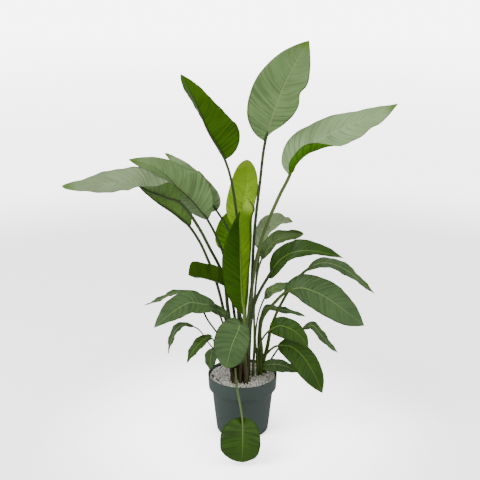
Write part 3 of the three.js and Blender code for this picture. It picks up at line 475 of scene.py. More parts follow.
def smooth(value, low, high):
    """A soft step from 0 at low to 1 at high."""
    x = np.clip((value - low) / (high - low), 0, 1)
    return x * x * (3 - 2 * x)


def outline(side, u):
    """The half's width over its greatest width at u along the blade."""
    toward_neck = np.clip(1 - u / side["widest"], 0, 1)
    toward_tip = np.clip((u - side["widest"]) / (1 - side["widest"]), 0, 1)
    return np.where(u < side["widest"],
                    np.clip(1 - toward_neck**NECK_ROUNDNESS, 0, 1) ** side["base"],
                    np.clip(1 - toward_tip ** side["fullness"], 0, 1) ** side["blunt"])


def trace(spec):
    """Adds the leaf's line, from its buried end to its tip, and the place of its neck on it."""
    x, y = spec["root"]
    upright = SOIL_TOP + (UPRIGHT if spec["stalk"] else SHORT_UPRIGHT)
    start = [(x, y, BURIED_END), (x, y, SOIL_TOP - BELOW_SOIL_TOP), (x, y, upright)]
    line = GrowthLine(start + spec["stalk"] + [spec["neck"]] + spec["rib"])
    spec["line"] = line
    spec["neck_place"] = line.places[len(start) + len(spec["stalk"])]
    spec["blade_length"] = line.length - spec["neck_place"]


def half_shape(spec, key, u, reach):
    """How far one half's points lie out from the midrib and above it, with the half's width."""
    side = spec[key]
    width = side["width"] * outline(side, u)
    for bite in spec["tears"]:
        if bite["side"] == key:
            width = width * (1 - bite["depth"] * np.exp(-(((u - bite["place"]) / bite["reach"]) ** 2)))
    width = np.maximum(width, spec["girth"][0] * (1 - u))
    fold, curl = np.radians(along(side["fold"], u)), np.radians(along(side["curl"], u))
    out, rise = np.zeros_like(u), np.zeros_like(u)
    for step in range(CURL_STEPS):
        angle = fold + curl * ((step + 0.5) / CURL_STEPS * reach) ** side["lip"]
        out += width * reach * np.cos(angle) / CURL_STEPS
        rise += width * reach * np.sin(angle) / CURL_STEPS
    return out, rise, width


def blade_sheet(spec, u, v):
    """Points of the blade's middle sheet, for u from neck to tip and v from the left edge at
    -1 to the right edge at 1, and the half's width there."""
    place = spec["neck_place"] + spec["blade_length"] * u
    middle, ahead = spec["line"].at(place), spec["line"].direction(place)
    right = unit(np.cross(ahead, unit(along(spec["face"], u))))
    up = np.cross(right, ahead)
    reach, sign = np.abs(v), np.where(v < 0, -1, 1)
    shapes = [half_shape(spec, key, u, reach) for key in ("left", "right")]
    out, rise, width = (np.where(v < 0, left, right_half) for left, right_half in zip(*shapes))
    back = np.where(v < 0, spec["left"]["lobe"], spec["right"]["lobe"])
    back = back * reach**LOBE_ROUNDNESS * np.clip(1 - 2 * u, 0, 1) ** 2
    height, count, phase = spec["wave"]
    turn = 2 * np.pi * (count * u + phase + WAVE_LAG * sign)
    fade = np.sqrt(np.sin(np.pi * np.clip(u, 0, 1)))
    rise = rise + fade * height * reach**2 * np.sin(turn)
    rise = rise + fade * FRILL_HEIGHT * reach**4 * np.sin(FRILL_RATE * turn + spec["seed"])
    sheet = middle + right * (sign * out)[:, None] + up * rise[:, None] - ahead * back[:, None]
    return sheet, width


def blade_sides(spec, places):
    """Upper and under side of the blade at grid places (column -1 to 1, row -1 to 1).

    The rows follow the lateral veins, which sweep towards the tip, and the columns stand
    closer at the midrib. Both sides meet at the edge.
    """
    row = (places[:, 1] + 1) / 2
    v = np.sign(places[:, 0]) * np.abs(places[:, 0]) ** COLUMN_CROWDING
    eased = (row + (1 - np.cos(np.pi * row)) / 2) / 2
    u = np.clip(eased + VEIN_SWEEP * np.abs(v) ** SWEEP_ACROSS * np.sin(np.pi * row) ** SWEEP_ALONG, 0, 1)
    sheet, width = blade_sheet(spec, u, v)
    ahead = (blade_sheet(spec, np.clip(u + STEP_ALONG, 0, 1), v)[0]
             - blade_sheet(spec, np.clip(u - STEP_ALONG, 0, 1), v)[0])
    across = (blade_sheet(spec, u, np.clip(v + STEP_ACROSS, -1, 1))[0]
              - blade_sheet(spec, u, np.clip(v - STEP_ACROSS, -1, 1))[0])
    normal = unit(np.cross(across, ahead))
    from_rib, to_edge = np.abs(v) * width, (1 - np.abs(v)) * width
    calm = smooth(from_rib, *PLEAT_FROM_RIB) * smooth(to_edge, *PLEAT_FROM_EDGE)
    calm = calm * np.sin(np.pi * np.clip(u, 0, 1))
    veins, seed = spec["veins"], spec["seed"]
    swing = np.sin(PLEAT_BEATS[0] * row * veins + seed) * np.sin(PLEAT_BEATS[1] * row * veins + 2 * seed)
    pleat = PLEAT_HEIGHT * calm * (0.5 + swing) * np.sin(2 * np.pi * row * veins)
    groove = GROOVE_DEPTH * (1 - u) * np.exp(-((from_rib / GROOVE_WIDTH) ** 2))
    thick = BLADE_THICKNESS / 2 * smooth(to_edge, -0.1, EDGE_TAPER)
    thick = thick * smooth(row, 0, END_TAPER) * smooth(1 - row, 0, END_TAPER)
    thick = np.where((np.abs(v) > 1 - TOUCHING) | at_an_end(row), 0, thick)
    upper = sheet + normal * (pleat - groove + thick)[:, None]
    under = sheet + normal * (pleat - groove - thick)[:, None]
    narrowing = 1.1 - u
    return upper, under, from_rib / narrowing, to_edge, u


def at_an_end(row):
    """Whether rows lie at the first or last end of their sheet."""
    return (row < TOUCHING) | (row > 1 - TOUCHING)


def stalk_radius(spec, place):
    """Thick at the foot, slim above it, and thinning as the midrib from the neck to the tip."""
    slim_place = STALK_FOOT_PLACE + STALK_SLIM_SHARE * (spec["neck_place"] - STALK_FOOT_PLACE)
    slim = smooth(place, STALK_FOOT_PLACE, slim_place)
    neck_girth, foot_girth = spec["girth"]
    radius = foot_girth + (neck_girth * STALK_LOWER_GIRTH - foot_girth) * slim
    radius = radius * (1 + (STALK_TAPER - 1) * np.clip(place / spec["neck_place"], 0, 1))
    u = np.clip((place - spec["neck_place"]) / spec["blade_length"], 0, 1)
    return radius * (1 - u) ** MIDRIB_TAPER


def stalk_surface(spec, places):
    """The stalk's skin at grid places (around -1 to 1, along -1 to 1): a stem with a shallow
    channel on its upper side, which runs on below the blade as the midrib."""
    row = (places[:, 1] + 1) / 2
    place = spec["line"].length * row
    u = np.clip((place - spec["neck_place"]) / spec["blade_length"], 0, 1)
    middle, ahead = spec["line"].at(place), spec["line"].direction(place)
    right = unit(np.cross(ahead, unit(along(spec["face"], u))))
    up = np.cross(right, ahead)
    angle = np.pi * places[:, 0] - np.pi / 2
    radius = stalk_radius(spec, place) * smooth(row, -0.001, 0.004)
    radius = np.where(at_an_end(row), 0, radius)
    hollow = np.exp(-((np.abs(places[:, 0]) - 1) / CHANNEL_WIDTH) ** 2) * (1 - smooth(u, 0, 0.1))
    channel = 1 - CHANNEL_DEPTH * hollow
    sunk = radius * smooth(u, 0, MIDRIB_START)
    middle = middle - up * sunk[:, None]
    return (middle + right * (radius * channel * np.cos(angle))[:, None]
            + up * (radius * channel * STALK_FLATNESS * np.sin(angle))[:, None])


def lay_grid(mesh, columns, rows, material):
    """A flat sheet of faces: its points, their places from -1 to 1 both ways, and its faces."""
    verts = bmesh.ops.create_grid(mesh, x_segments=columns, y_segments=rows, size=1, calc_uvs=True)["verts"]
    places = np.array([vertex.co[:2] for vertex in verts])
    faces = list({face for vertex in verts for face in vertex.link_faces})
    for face in faces:
        face.material_index = material
        face.smooth = True
    return verts, places, faces


def move(verts, points):
    """Moves points to where a formula has them, given in millimetres."""
    for vertex, point in zip(verts, points * MM):
        vertex.co = point


def grow_leaf(spec):
    """One leaf: blade, midrib and stalk, as one piece that stands for its solid."""
    trace(spec)
    spec["veins"] = max(FEWEST_VEINS, round(spec["blade_length"] / VEIN_PITCH))
    spec["seed"] = len(spec["name"]) + spec["root"][0]
    rows = spec["veins"] * ROWS_PER_VEIN
    columns = SMALL_BLADE_COLUMNS if spec["small"] else BLADE_COLUMNS
    mesh = bmesh.new()
    uv = mesh.loops.layers.uv.new("surface")
    marks = [mesh.verts.layers.float.new(name) for name in ("from_rib", "to_edge", "to_tip")]
    for side in (UPPER, UNDER):
        verts, places, faces = lay_grid(mesh, columns, rows, side)
        upper, under, *values = blade_sides(spec, places)
        move(verts, upper if side == UPPER else under)
        if side == UNDER:
            bmesh.ops.reverse_faces(mesh, faces=faces)
        for mark, column in zip(marks, values):
            for vertex, value in zip(verts, column):
                vertex[mark] = value
        for face in faces:
            for loop in face.loops:
                loop[uv].uv.x += spec["seed"]
                loop[uv].uv.y *= spec["veins"]
    length = spec["line"].length
    verts, places, faces = lay_grid(mesh, STALK_SIDES, round(length / STALK_ROW), STALK)
    move(verts, stalk_surface(spec, places))
    for face in faces:
        for loop in face.loops:
            loop[uv].uv.y *= length * MM
    bmesh.ops.remove_doubles(mesh, verts=mesh.verts[:], dist=TOUCHING)
    materials = BLADE_FINISHES[spec["finish"]] + [FINISHES[spec["stem"]]]
    piece = finish_piece(spec["name"] + "_grown", mesh, materials)
    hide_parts(spec["name"])


def finish_piece(name, mesh, materials):
    """Turns a bmesh into an object at the origin that rides on the part's one body."""
    data = bpy.data.meshes.new(name)
    mesh.to_mesh(data)
    mesh.free()
    piece = bpy.data.objects.new(name, data)
    bpy.context.scene.collection.objects.link(piece)
    for material in materials:
        data.materials.append(material)
    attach(piece, "root")
    return piece


# ---------------------------------------------------------------- pot, soil and gravel


def pot_radius(height):
    """The radius of the pot's outside below its rim."""
    return FOOT_RADIUS + (NECK_RADIUS - FOOT_RADIUS) * height / NECK_HEIGHT


def arc(centre, radius, start, end, steps):
    """Points on a round corner of a profile, from one angle to another, in degrees."""
    angles = [math.radians(start + (end - start) * step / steps) for step in range(steps + 1)]
    return [(centre[0] + radius * math.cos(a), centre[1] + radius * math.sin(a)) for a in angles]


def pot_profile():
    """The pot's section: from the middle of its underside up the outside, over the lip and down
    the inside to its floor. The underside is lifted inside the ring that the pot stands on."""
    outside = [(0, FLOOR_LIFT), (STANDING_RADIUS - 2, FLOOR_LIFT), (STANDING_RADIUS, 0)]
    outside += arc((FOOT_RADIUS - FOOT_ROUND, FOOT_ROUND), FOOT_ROUND, -90, -4, 8)
    outside += [(pot_radius(height), height) for height in (40, 80, 120, NECK_HEIGHT - 3)]
    outside += [(NECK_RADIUS + 0.6, NECK_HEIGHT), (RIM_FOOT_RADIUS - 3.2, RIM_FOOT - 5)]
    outside += arc((RIM_FOOT_RADIUS - LEDGE_ROUND, RIM_FOOT), LEDGE_ROUND, -60, 0, 4)
    outside += [(RIM_RADIUS - 0.3, POT_HEIGHT - 8)]
    outside += arc((RIM_RADIUS - LIP_ROUND, POT_HEIGHT - LIP_ROUND), LIP_ROUND, 0, 180, 8)
    inside = [(RIM_FOOT_RADIUS - POT_WALL, RIM_FOOT + 2), (NECK_RADIUS - POT_WALL, NECK_HEIGHT)]
    inside += [(pot_radius(FOOT_ROUND) - POT_WALL, FOOT_ROUND + 3), (FOOT_RADIUS - FOOT_ROUND, POT_FLOOR)]
    inside += [(0, POT_FLOOR)]
    return outside + inside


def turn_profile(mesh, profile, steps):
    """A closed body of revolution from a profile of (radius, height) points in mm."""
    verts = [mesh.verts.new((radius * MM, 0, height * MM)) for radius, height in profile]
    edges = [mesh.edges.new(pair) for pair in zip(verts, verts[1:])]
    bmesh.ops.spin(mesh, geom=verts + edges, cent=(0, 0, 0), axis=(0, 0, 1), angle=2 * math.pi,
                   steps=steps, use_merge=True)
    bmesh.ops.remove_doubles(mesh, verts=mesh.verts[:], dist=TOUCHING)
    bmesh.ops.recalc_face_normals(mesh, faces=mesh.faces[:])
    for face in mesh.faces:
        face.smooth = True


def drill(piece, cutters):
    """Cuts the holes through the pot's wall and floor."""
    mesh = bmesh.new()
    for radius, matrix in cutters:
        bmesh.ops.create_cone(mesh, cap_ends=True, segments=HOLE_SIDES, radius1=radius * MM,
                              radius2=radius * MM, depth=DRILL_LENGTH * MM, matrix=matrix)
    data = bpy.data.meshes.new("drill")
    mesh.to_mesh(data)
    mesh.free()
    tool = bpy.data.objects.new("drill", data)
    bpy.context.scene.collection.objects.link(tool)
    cut = piece.modifiers.new("holes", "BOOLEAN")
    cut.operation = "DIFFERENCE"
    cut.solver = "EXACT"
    cut.object = tool
    drilled = bpy.data.meshes.new_from_object(piece.evaluated_get(bpy.context.evaluated_depsgraph_get()))
    piece.modifiers.clear()
    piece.data = drilled
    bpy.data.objects.remove(tool)


def make_pot():
    """The nursery pot, with holes low in its side and in its floor."""
    mesh = bmesh.new()
    turn_profile(mesh, pot_profile(), POT_STEPS)
    piece = finish_piece("nursery_pot", mesh, [FINISHES["pot"]])
    cutters = []
    for angle in SIDE_HOLE_ANGLES:
        turn = Matrix.Rotation(math.radians(angle), 4, "Z")
        out = Matrix.Translation((pot_radius(SIDE_HOLE_HEIGHT) * MM, 0, SIDE_HOLE_HEIGHT * MM))
        cutters.append((SIDE_HOLE_RADIUS, turn @ out @ Matrix.Rotation(math.pi / 2, 4, "Y")))
    for step in range(FLOOR_HOLE_COUNT):
        turn = Matrix.Rotation(2 * math.pi * step / FLOOR_HOLE_COUNT, 4, "Z")
        cutters.append((FLOOR_HOLE_RADIUS, turn @ Matrix.Translation((FLOOR_HOLE_RING * MM, 0, 0))))
    drill(piece, cutters)
    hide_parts("pot")


def make_soil():
    """The root ball: it fills the pot, and its crumbly top shows between the stones."""
    mesh = bmesh.new()
    gap = POT_WALL + SOIL_GAP
    profile = [(0, POT_FLOOR + SOIL_GAP), (FOOT_RADIUS - FOOT_ROUND - 2, POT_FLOOR + SOIL_GAP),
               (pot_radius(FOOT_ROUND) - gap, FOOT_ROUND + 3), (NECK_RADIUS - gap, NECK_HEIGHT),
               (RIM_FOOT_RADIUS - gap, RIM_FOOT + 3)]
    profile += [((RIM_FOOT_RADIUS - gap) * (1 - ring / SOIL_RINGS), CRUMBS_TOP)
                for ring in range(SOIL_RINGS + 1)]
    turn_profile(mesh, profile, SOIL_STEPS)
    rng = random.Random(SOIL_SEED)
    for vertex in mesh.verts:
        if vertex.co.z > SOIL_TOP * MM:
            vertex.co.z += rng.uniform(-CRUMB_HEIGHT, CRUMB_HEIGHT) * MM
    piece = finish_piece("root_ball", mesh, [FINISHES["soil"]])
    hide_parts("soil")


def make_gravel():
    """Loose crushed stones in a thin layer, each a small cut ball of its own size and turn."""
    rng = random.Random(GRAVEL_SEED)
    mesh = bmesh.new()
    shade_mark = mesh.verts.layers.float.new("shade")
    placed = 0
    while placed < GRAIN_COUNT:
        distance, angle = BED_RADIUS * math.sqrt(rng.random()), rng.uniform(0, 2 * math.pi)
        x, y = distance * math.cos(angle), distance * math.sin(angle)
        if any(math.dist((x, y), spec["root"]) < spec["girth"][1] for spec in LEAVES):
            continue
        if any(math.dist((x, y), (spot_x, spot_y)) < radius for spot_x, spot_y, radius in BARE_SPOTS):
            continue
        size = rng.uniform(*GRAIN_SIZE) * MM
        distance = min(distance, BED_RADIUS - size / MM)
        place = Matrix.Translation((distance * math.cos(angle) * MM, distance * math.sin(angle) * MM,
                                    (GRAVEL_LEVEL + rng.uniform(*GRAIN_LIFT)) * MM))
        spin = rng.uniform(0, GRAIN_SPIN)
        turn = Matrix.Rotation(spin, 4, Vector((rng.random() - 0.5, rng.random() - 0.5, 0.5)))
        width, height = size * rng.uniform(*GRAIN_WIDTH), size * rng.uniform(*GRAIN_FLATNESS)
        squash = Matrix.Diagonal((size, width, height, 1))
        grain = bmesh.ops.create_icosphere(mesh, subdivisions=1, radius=1, matrix=place @ turn @ squash)
        tone = rng.random() ** PALE_GRAINS
        for vertex in grain["verts"]:
            crush = Vector((rng.uniform(-1, 1), rng.uniform(-1, 1), rng.uniform(-1, 1)))
            vertex.co += crush * size * GRAIN_CRUSH
            vertex[shade_mark] = tone
        placed += 1
    piece = finish_piece("gravel_stones", mesh, [FINISHES["gravel"]])
    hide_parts("gravel")


# ---------------------------------------------------------------- finishes

BLOTCH_SCALE = 11.0
PORE_SCALE = 900.0
# the painted light and shade of the pleats, as lighter and darker streaks along the veins: the scale of
# their bands and lines (the lines also give the bump), their shares, their strength at the neck and at the
# tip, and how much lighter and darker than the leaf they are
VEIN_BANDS = (1.3, 1.3, 1.0)
VEIN_LINES = (2.2, 3.2, 1.0)
BAND_SHARE, LINE_SHARE = 0.65, 0.35
PAINTED_PLEATS_AT_NECK, PAINTED_PLEATS_AT_TIP = 0.51, 0.136
PLEAT_HIGHLIGHT, PLEAT_SHADE = 1.3, 0.45
TIP_ZONE = (0.87, 0.97)
TIP_SHARE = 0.85
RIB_CORE = 0.4
RIB_SHARE = 0.85
EDGE_ZONE = (0.3, 1.6)
EDGE_SHARE = 0.6
EDGE_DARK = 0.8
PORE_HEIGHT = 0.2
UPPER_RIB_WIDTH = 2.6
UNDER_RIB_WIDTH = 2.0
UNDER_GLOSS = 0.5
UNDER_SHINE = 0.1
STALK_STREAKS = (7.0, 9.0, 1.0)
SHEATH_END = (0.13, 0.24)
SHEATH_RAGGED = 0.05
FLOOR_GREY = (0.7, 0.7, 0.7, 1)
# the floor's brightness as the camera sees it, by distance from the pot: painted shade greys it from 0.15 m
# out, and painted light whitens it again from 2.3 m out
FLOOR_BY_THE_POT = 4.8
FLOOR_CHANGES = [(0.15, 0.8, -2.1), (2.3, 3.8, 1.9), (3.8, 14, 2.4)]  # from and to, in m, and how much


def rgb(red, green, blue):
    """A colour given as it looks on a screen, 0 to 255, as the shader's own values."""
    values = [c / 255 for c in (red, green, blue)]
    return tuple(c / 12.92 if c <= 0.04045 else ((c + 0.055) / 1.055) ** 2.4 for c in values) + (1,)


class Wiring:
    """Nodes of one tree: each method adds one node and returns its output."""

    def __init__(self, tree):
        self.tree = tree

    def node(self, kind, settings=None, **inputs):
        made = self.tree.nodes.new(kind)
        for key, value in (settings or {}).items():
            setattr(made, key, value)
        for key, value in inputs.items():
            numbered = key[0] == "i" and key[1:].isdigit()
            self.feed(made.inputs[int(key[1:]) if numbered else key], value)
        return made

    def feed(self, socket, value):
        """Links a node's output to a socket, or sets the socket to a plain value."""
        if isinstance(value, bpy.types.NodeSocket):
            self.tree.links.new(value, socket)
        else:
            socket.default_value = value

    def mix(self, factor, first, second):
        made = self.node("ShaderNodeMix", {"data_type": "RGBA"}, i0=factor, i6=first, i7=second)
        return made.outputs[2]

    def maths(self, operation, first, second):
        return self.node("ShaderNodeMath", {"operation": operation}, i0=first, i1=second).outputs[0]

    def add(self, first, second):
        return self.maths("ADD", first, second)

    def times(self, first, second):
        return self.maths("MULTIPLY", first, second)

    def ramp(self, value, low, high, start=0.0, end=1.0):
        made = self.node("ShaderNodeMapRange", {"interpolation_type": "SMOOTHSTEP"},
                         i0=value, i1=low, i2=high, i3=start, i4=end)
        return made.outputs[0]

    def stretched(self, place, scales):
        return self.node("ShaderNodeMapping", i3=scales, Vector=place).outputs[0]

    def noise(self, place, scale, detail=3.0, roughness=0.55):
        made = self.node("ShaderNodeTexNoise", Vector=place, Scale=scale, Detail=detail, Roughness=roughness)
        return made.outputs[0]


class Effect(Wiring):
    """A node group with named inputs and outputs, each a colour, a vector or a value."""

    KINDS = {"colour": "NodeSocketColor", "vector": "NodeSocketVector", "value": "NodeSocketFloat"}

    def __init__(self, name, inputs, outputs):
        super().__init__(bpy.data.node_groups.new(name, "ShaderNodeTree"))
        for sockets, way in ((inputs, "INPUT"), (outputs, "OUTPUT")):
            for socket, kind in sockets.items():
                self.tree.interface.new_socket(socket, in_out=way, socket_type=self.KINDS[kind])
        self.given = self.tree.nodes.new("NodeGroupInput").outputs
        self.results = self.tree.nodes.new("NodeGroupOutput").inputs


class Finish(Wiring):
    """A material's nodes, which feed its one shader."""

    SOCKETS = {"colour": "Base Color", "roughness": "Roughness", "normal": "Normal",
               "specular": "Specular IOR Level"}

    def __init__(self, name):
        self.material = bpy.data.materials.new(name)
        self.material.use_nodes = True
        super().__init__(self.material.node_tree)
        self.shader = self.tree.nodes["Principled BSDF"]

    def effect(self, tree, inputs):
        """Places an effect in the material with its own values, and gives its outputs."""
        made = self.node("ShaderNodeGroup", {"node_tree": tree})
        for key, value in inputs.items():
            self.feed(made.inputs[key], value)
        return made.outputs

    def mark(self, name):
        return self.node("ShaderNodeAttribute", {"attribute_name": name}).outputs["Fac"]

    def object_place(self):
        return self.node("ShaderNodeTexCoord").outputs["Object"]

    def surface_place(self):
        return self.node("ShaderNodeUVMap", {"uv_map": "surface"}).outputs["UV"]

    def bump(self, height, strength, distance):
        made = self.node("ShaderNodeBump", Height=height, Strength=strength, Distance=distance)
        return made.outputs["Normal"]

    def set(self, **inputs):
        for key, value in inputs.items():
            self.feed(self.shader.inputs[self.SOCKETS[key]], value)


def shade(colour, amount):
    """A colour made lighter or darker by a factor."""
    return tuple(min(1, value * amount) for value in colour[:3]) + (1,)


def blade_effect():
    """A blade's skin: flesh with soft blotches, painted highlights and painted shade of the pleats as
    streaks along the lateral veins that fade towards the tip, a paler midrib, a thin pale edge and a tip
    with its own colour."""
    made = Effect("blade_skin", {
        "Place": "vector", "Veins": "vector", "From Rib": "value", "To Edge": "value", "To Tip": "value",
        "Flesh": "colour", "Light": "colour", "Painted Pleat Highlights": "colour", "Painted Pleat Shade": "colour",
        "Tip": "colour", "Rib": "colour", "Rib Width": "value", "Edge": "colour",
    }, {"Colour": "colour", "Blotches": "value", "Height": "value"})
    given = made.given
    bands = made.noise(made.stretched(given["Veins"], VEIN_BANDS), 1.0, 2.0)
    lines = made.noise(made.stretched(given["Veins"], VEIN_LINES), 1.0, 2.0)
    blotch = made.ramp(made.noise(given["Place"], BLOTCH_SCALE), 0.3, 0.75)
    # the streaks are painted light and shade of the pleats: high values are painted highlight, low values
    # painted shade
    streak = made.add(made.times(made.ramp(bands, 0.38, 0.62), BAND_SHARE),
                      made.times(made.ramp(lines, 0.35, 0.65), LINE_SHARE))
    painted_pleat_strength = made.ramp(given["To Tip"], 0.2, 1.0, PAINTED_PLEATS_AT_NECK, PAINTED_PLEATS_AT_TIP)
    colour = made.mix(blotch, given["Flesh"], given["Light"])
    colour = made.mix(made.times(streak, painted_pleat_strength), colour, given["Painted Pleat Highlights"])
    painted_pleat_shade = made.times(made.ramp(streak, 0.0, 0.5, 1.0, 0.0), painted_pleat_strength)
    colour = made.mix(painted_pleat_shade, colour, given["Painted Pleat Shade"])
    colour = made.mix(made.ramp(given["To Tip"], *TIP_ZONE, 0.0, TIP_SHARE), colour, given["Tip"])
    rib_core = made.times(given["Rib Width"], RIB_CORE)
    rib = made.ramp(given["From Rib"], rib_core, given["Rib Width"], RIB_SHARE, 0.0)
    colour = made.mix(rib, colour, given["Rib"])
    colour = made.mix(made.ramp(given["To Edge"], *EDGE_ZONE, EDGE_SHARE, 0.0), colour, given["Edge"])
    pores = made.noise(given["Place"], PORE_SCALE)
    made.feed(made.results["Colour"], colour)
    made.feed(made.results["Blotches"], blotch)
    made.feed(made.results["Height"], made.add(lines, made.times(pores, PORE_HEIGHT)))
    return made.tree


def blade_finish(skin, name, gloss, shine, rib_width, flesh, light, rib, tip=None):
    """One side of a blade, in the colours given to it, which for most finishes carry painted sheen, light
    and shade. The tip has the light colour that the painted pleat highlights are made from, unless it is
    given one."""
    made = Finish(name)
    parts = made.effect(skin, {
        "Place": made.object_place(), "Veins": made.surface_place(), "From Rib": made.mark("from_rib"),
        "To Edge": made.mark("to_edge"), "To Tip": made.mark("to_tip"), "Flesh": flesh, "Light": light,
        # painted pleat highlights are the light colour made lighter, painted pleat shade the flesh made
        # darker
        "Painted Pleat Highlights": shade(light, PLEAT_HIGHLIGHT), "Painted Pleat Shade": shade(flesh, PLEAT_SHADE),
        "Tip": tip or light, "Rib": rib, "Rib Width": rib_width, "Edge": shade(rib, EDGE_DARK)})
    made.set(colour=parts["Colour"], roughness=made.ramp(parts["Blotches"], 0, 1, gloss, gloss + 0.08),
             normal=made.bump(parts["Height"], 0.3, 0.0008), specular=shine)
    return made.material


def stalk_effect():
    """A stalk's skin: green with fine streaks along it, passing into the foot's own colours over
    the sheath where it leaves the soil."""
    made = Effect("stalk_skin", {
        "Surface": "vector", "Up Stalk": "value", "Foot Dark": "colour", "Foot Light": "colour",
        "Skin Dark": "colour", "Skin Light": "colour",
    }, {"Colour": "colour", "Height": "value"})
    given = made.given
    streak = made.noise(made.stretched(given["Surface"], STALK_STREAKS), 1.0)
    streaked = made.ramp(streak, 0.35, 0.7)
    skin = made.mix(streaked, given["Skin Dark"], given["Skin Light"])
    foot = made.mix(streaked, given["Foot Dark"], given["Foot Light"])
    ragged = made.add(given["Up Stalk"], made.times(streak, SHEATH_RAGGED))
    made.feed(made.results["Colour"], made.mix(made.ramp(ragged, *SHEATH_END, 1.0, 0.0), skin, foot))
    made.feed(made.results["Height"], streak)
    return made.tree


def stalk_finish(skin, name, foot_dark, foot_light, skin_dark, skin_light):
    """A stalk in the colours given to it."""
    made = Finish(name)
    surface = made.surface_place()
    parts = made.effect(skin, {
        "Surface": surface, "Up Stalk": made.node("ShaderNodeSeparateXYZ", Vector=surface).outputs["Y"],
        "Foot Dark": foot_dark, "Foot Light": foot_light, "Skin Dark": skin_dark, "Skin Light": skin_light})
    made.set(colour=parts["Colour"], roughness=0.5, normal=made.bump(parts["Height"], 0.1, 0.0005),
             specular=0.3)
    return made.material


def pot_finish():
    """Matt dark green plastic, a little cloudy, with a faint grain."""
    made = Finish("pot_plastic")
    place = made.object_place()
    cloud = made.noise(place, 9.0)
    grain = made.noise(place, 1400.0, 2.0)
    colour = made.mix(made.ramp(cloud, 0.3, 0.7), rgb(56, 71, 66), rgb(64, 79, 73))
    made.set(colour=colour, roughness=made.ramp(cloud, 0.3, 0.7, 0.5, 0.6),
             normal=made.bump(grain, 0.25, 0.0003))
    return made.material


def soil_finish():
    """Dark, dull crumbs."""
    made = Finish("potting_soil")
    place = made.object_place()
    crumb = made.noise(place, 420.0, 6.0, 0.7)
    colour = made.mix(made.ramp(crumb, 0.35, 0.7), rgb(22, 17, 13), rgb(66, 54, 42))
    made.set(colour=colour, roughness=0.95, normal=made.bump(crumb, 0.9, 0.003))
    return made.material


def gravel_finish():
    """Pale stone, each one in its own tone, with darker specks."""
    made = Finish("gravel_stone")
    place = made.object_place()
    tone = made.mark("shade")
    speck = made.noise(place, 900.0, 3.0)
    colour = made.mix(tone, rgb(150, 142, 126), rgb(255, 253, 246))
    colour = made.mix(made.ramp(speck, 0.5, 0.75, 0.0, 0.5), colour, rgb(150, 140, 122))
    made.set(colour=colour, roughness=0.9, normal=made.bump(speck, 0.6, 0.0006))
    return made.material


def floor_finish():
    """A white floor, shown brighter to the camera than it shines on the plant, and painted lighter and
    darker by its distance from the pot: bright round the pot, a little greyer further out in painted shade,
    and whitest in the distance in painted light."""
    made = Finish("studio_floor")
    seen = made.node("ShaderNodeLightPath").outputs["Is Camera Ray"]
    distance = made.node("ShaderNodeVectorMath", {"operation": "LENGTH"}, Vector=made.object_place())
    shown = FLOOR_BY_THE_POT
    for near, far, change in FLOOR_CHANGES:
        shown = made.add(made.ramp(distance.outputs["Value"], near, far, 0.0, change), shown)
    colour = made.mix(seen, FLOOR_GREY, shown)
    chalk = made.node("ShaderNodeBsdfDiffuse", Color=colour).outputs[0]
    made.tree.links.new(chalk, made.tree.nodes["Material Output"].inputs["Surface"])
    made.tree.nodes.remove(made.shader)
    return made.material


FINISHES = {"pot": pot_finish(), "soil": soil_finish(), "gravel": gravel_finish()}

# the sheath's dark and light colour, and the skin's. The green and light stalks are made lighter than their
# own colours, as painted light on stalks that lie in shade.
STALK_COLOURS = {
    "brown": [(24, 16, 11), (84, 70, 40), (48, 66, 32), (68, 88, 44)],
    "green": [(58, 80, 22), (94, 122, 38), (72, 94, 38), (100, 124, 56)],
    "light": [(62, 74, 38), (98, 114, 62), (82, 102, 50), (110, 130, 72)],
    "pale": [(52, 46, 32), (104, 100, 66), (86, 112, 30), (120, 146, 52)],
}
stalk_skin = stalk_effect()
for name, colours in STALK_COLOURS.items():
    FINISHES[name] = stalk_finish(stalk_skin, "stalk_" + name, *[rgb(*colour) for colour in colours])

RIB = (132, 156, 84)
TIP = (84, 122, 14)
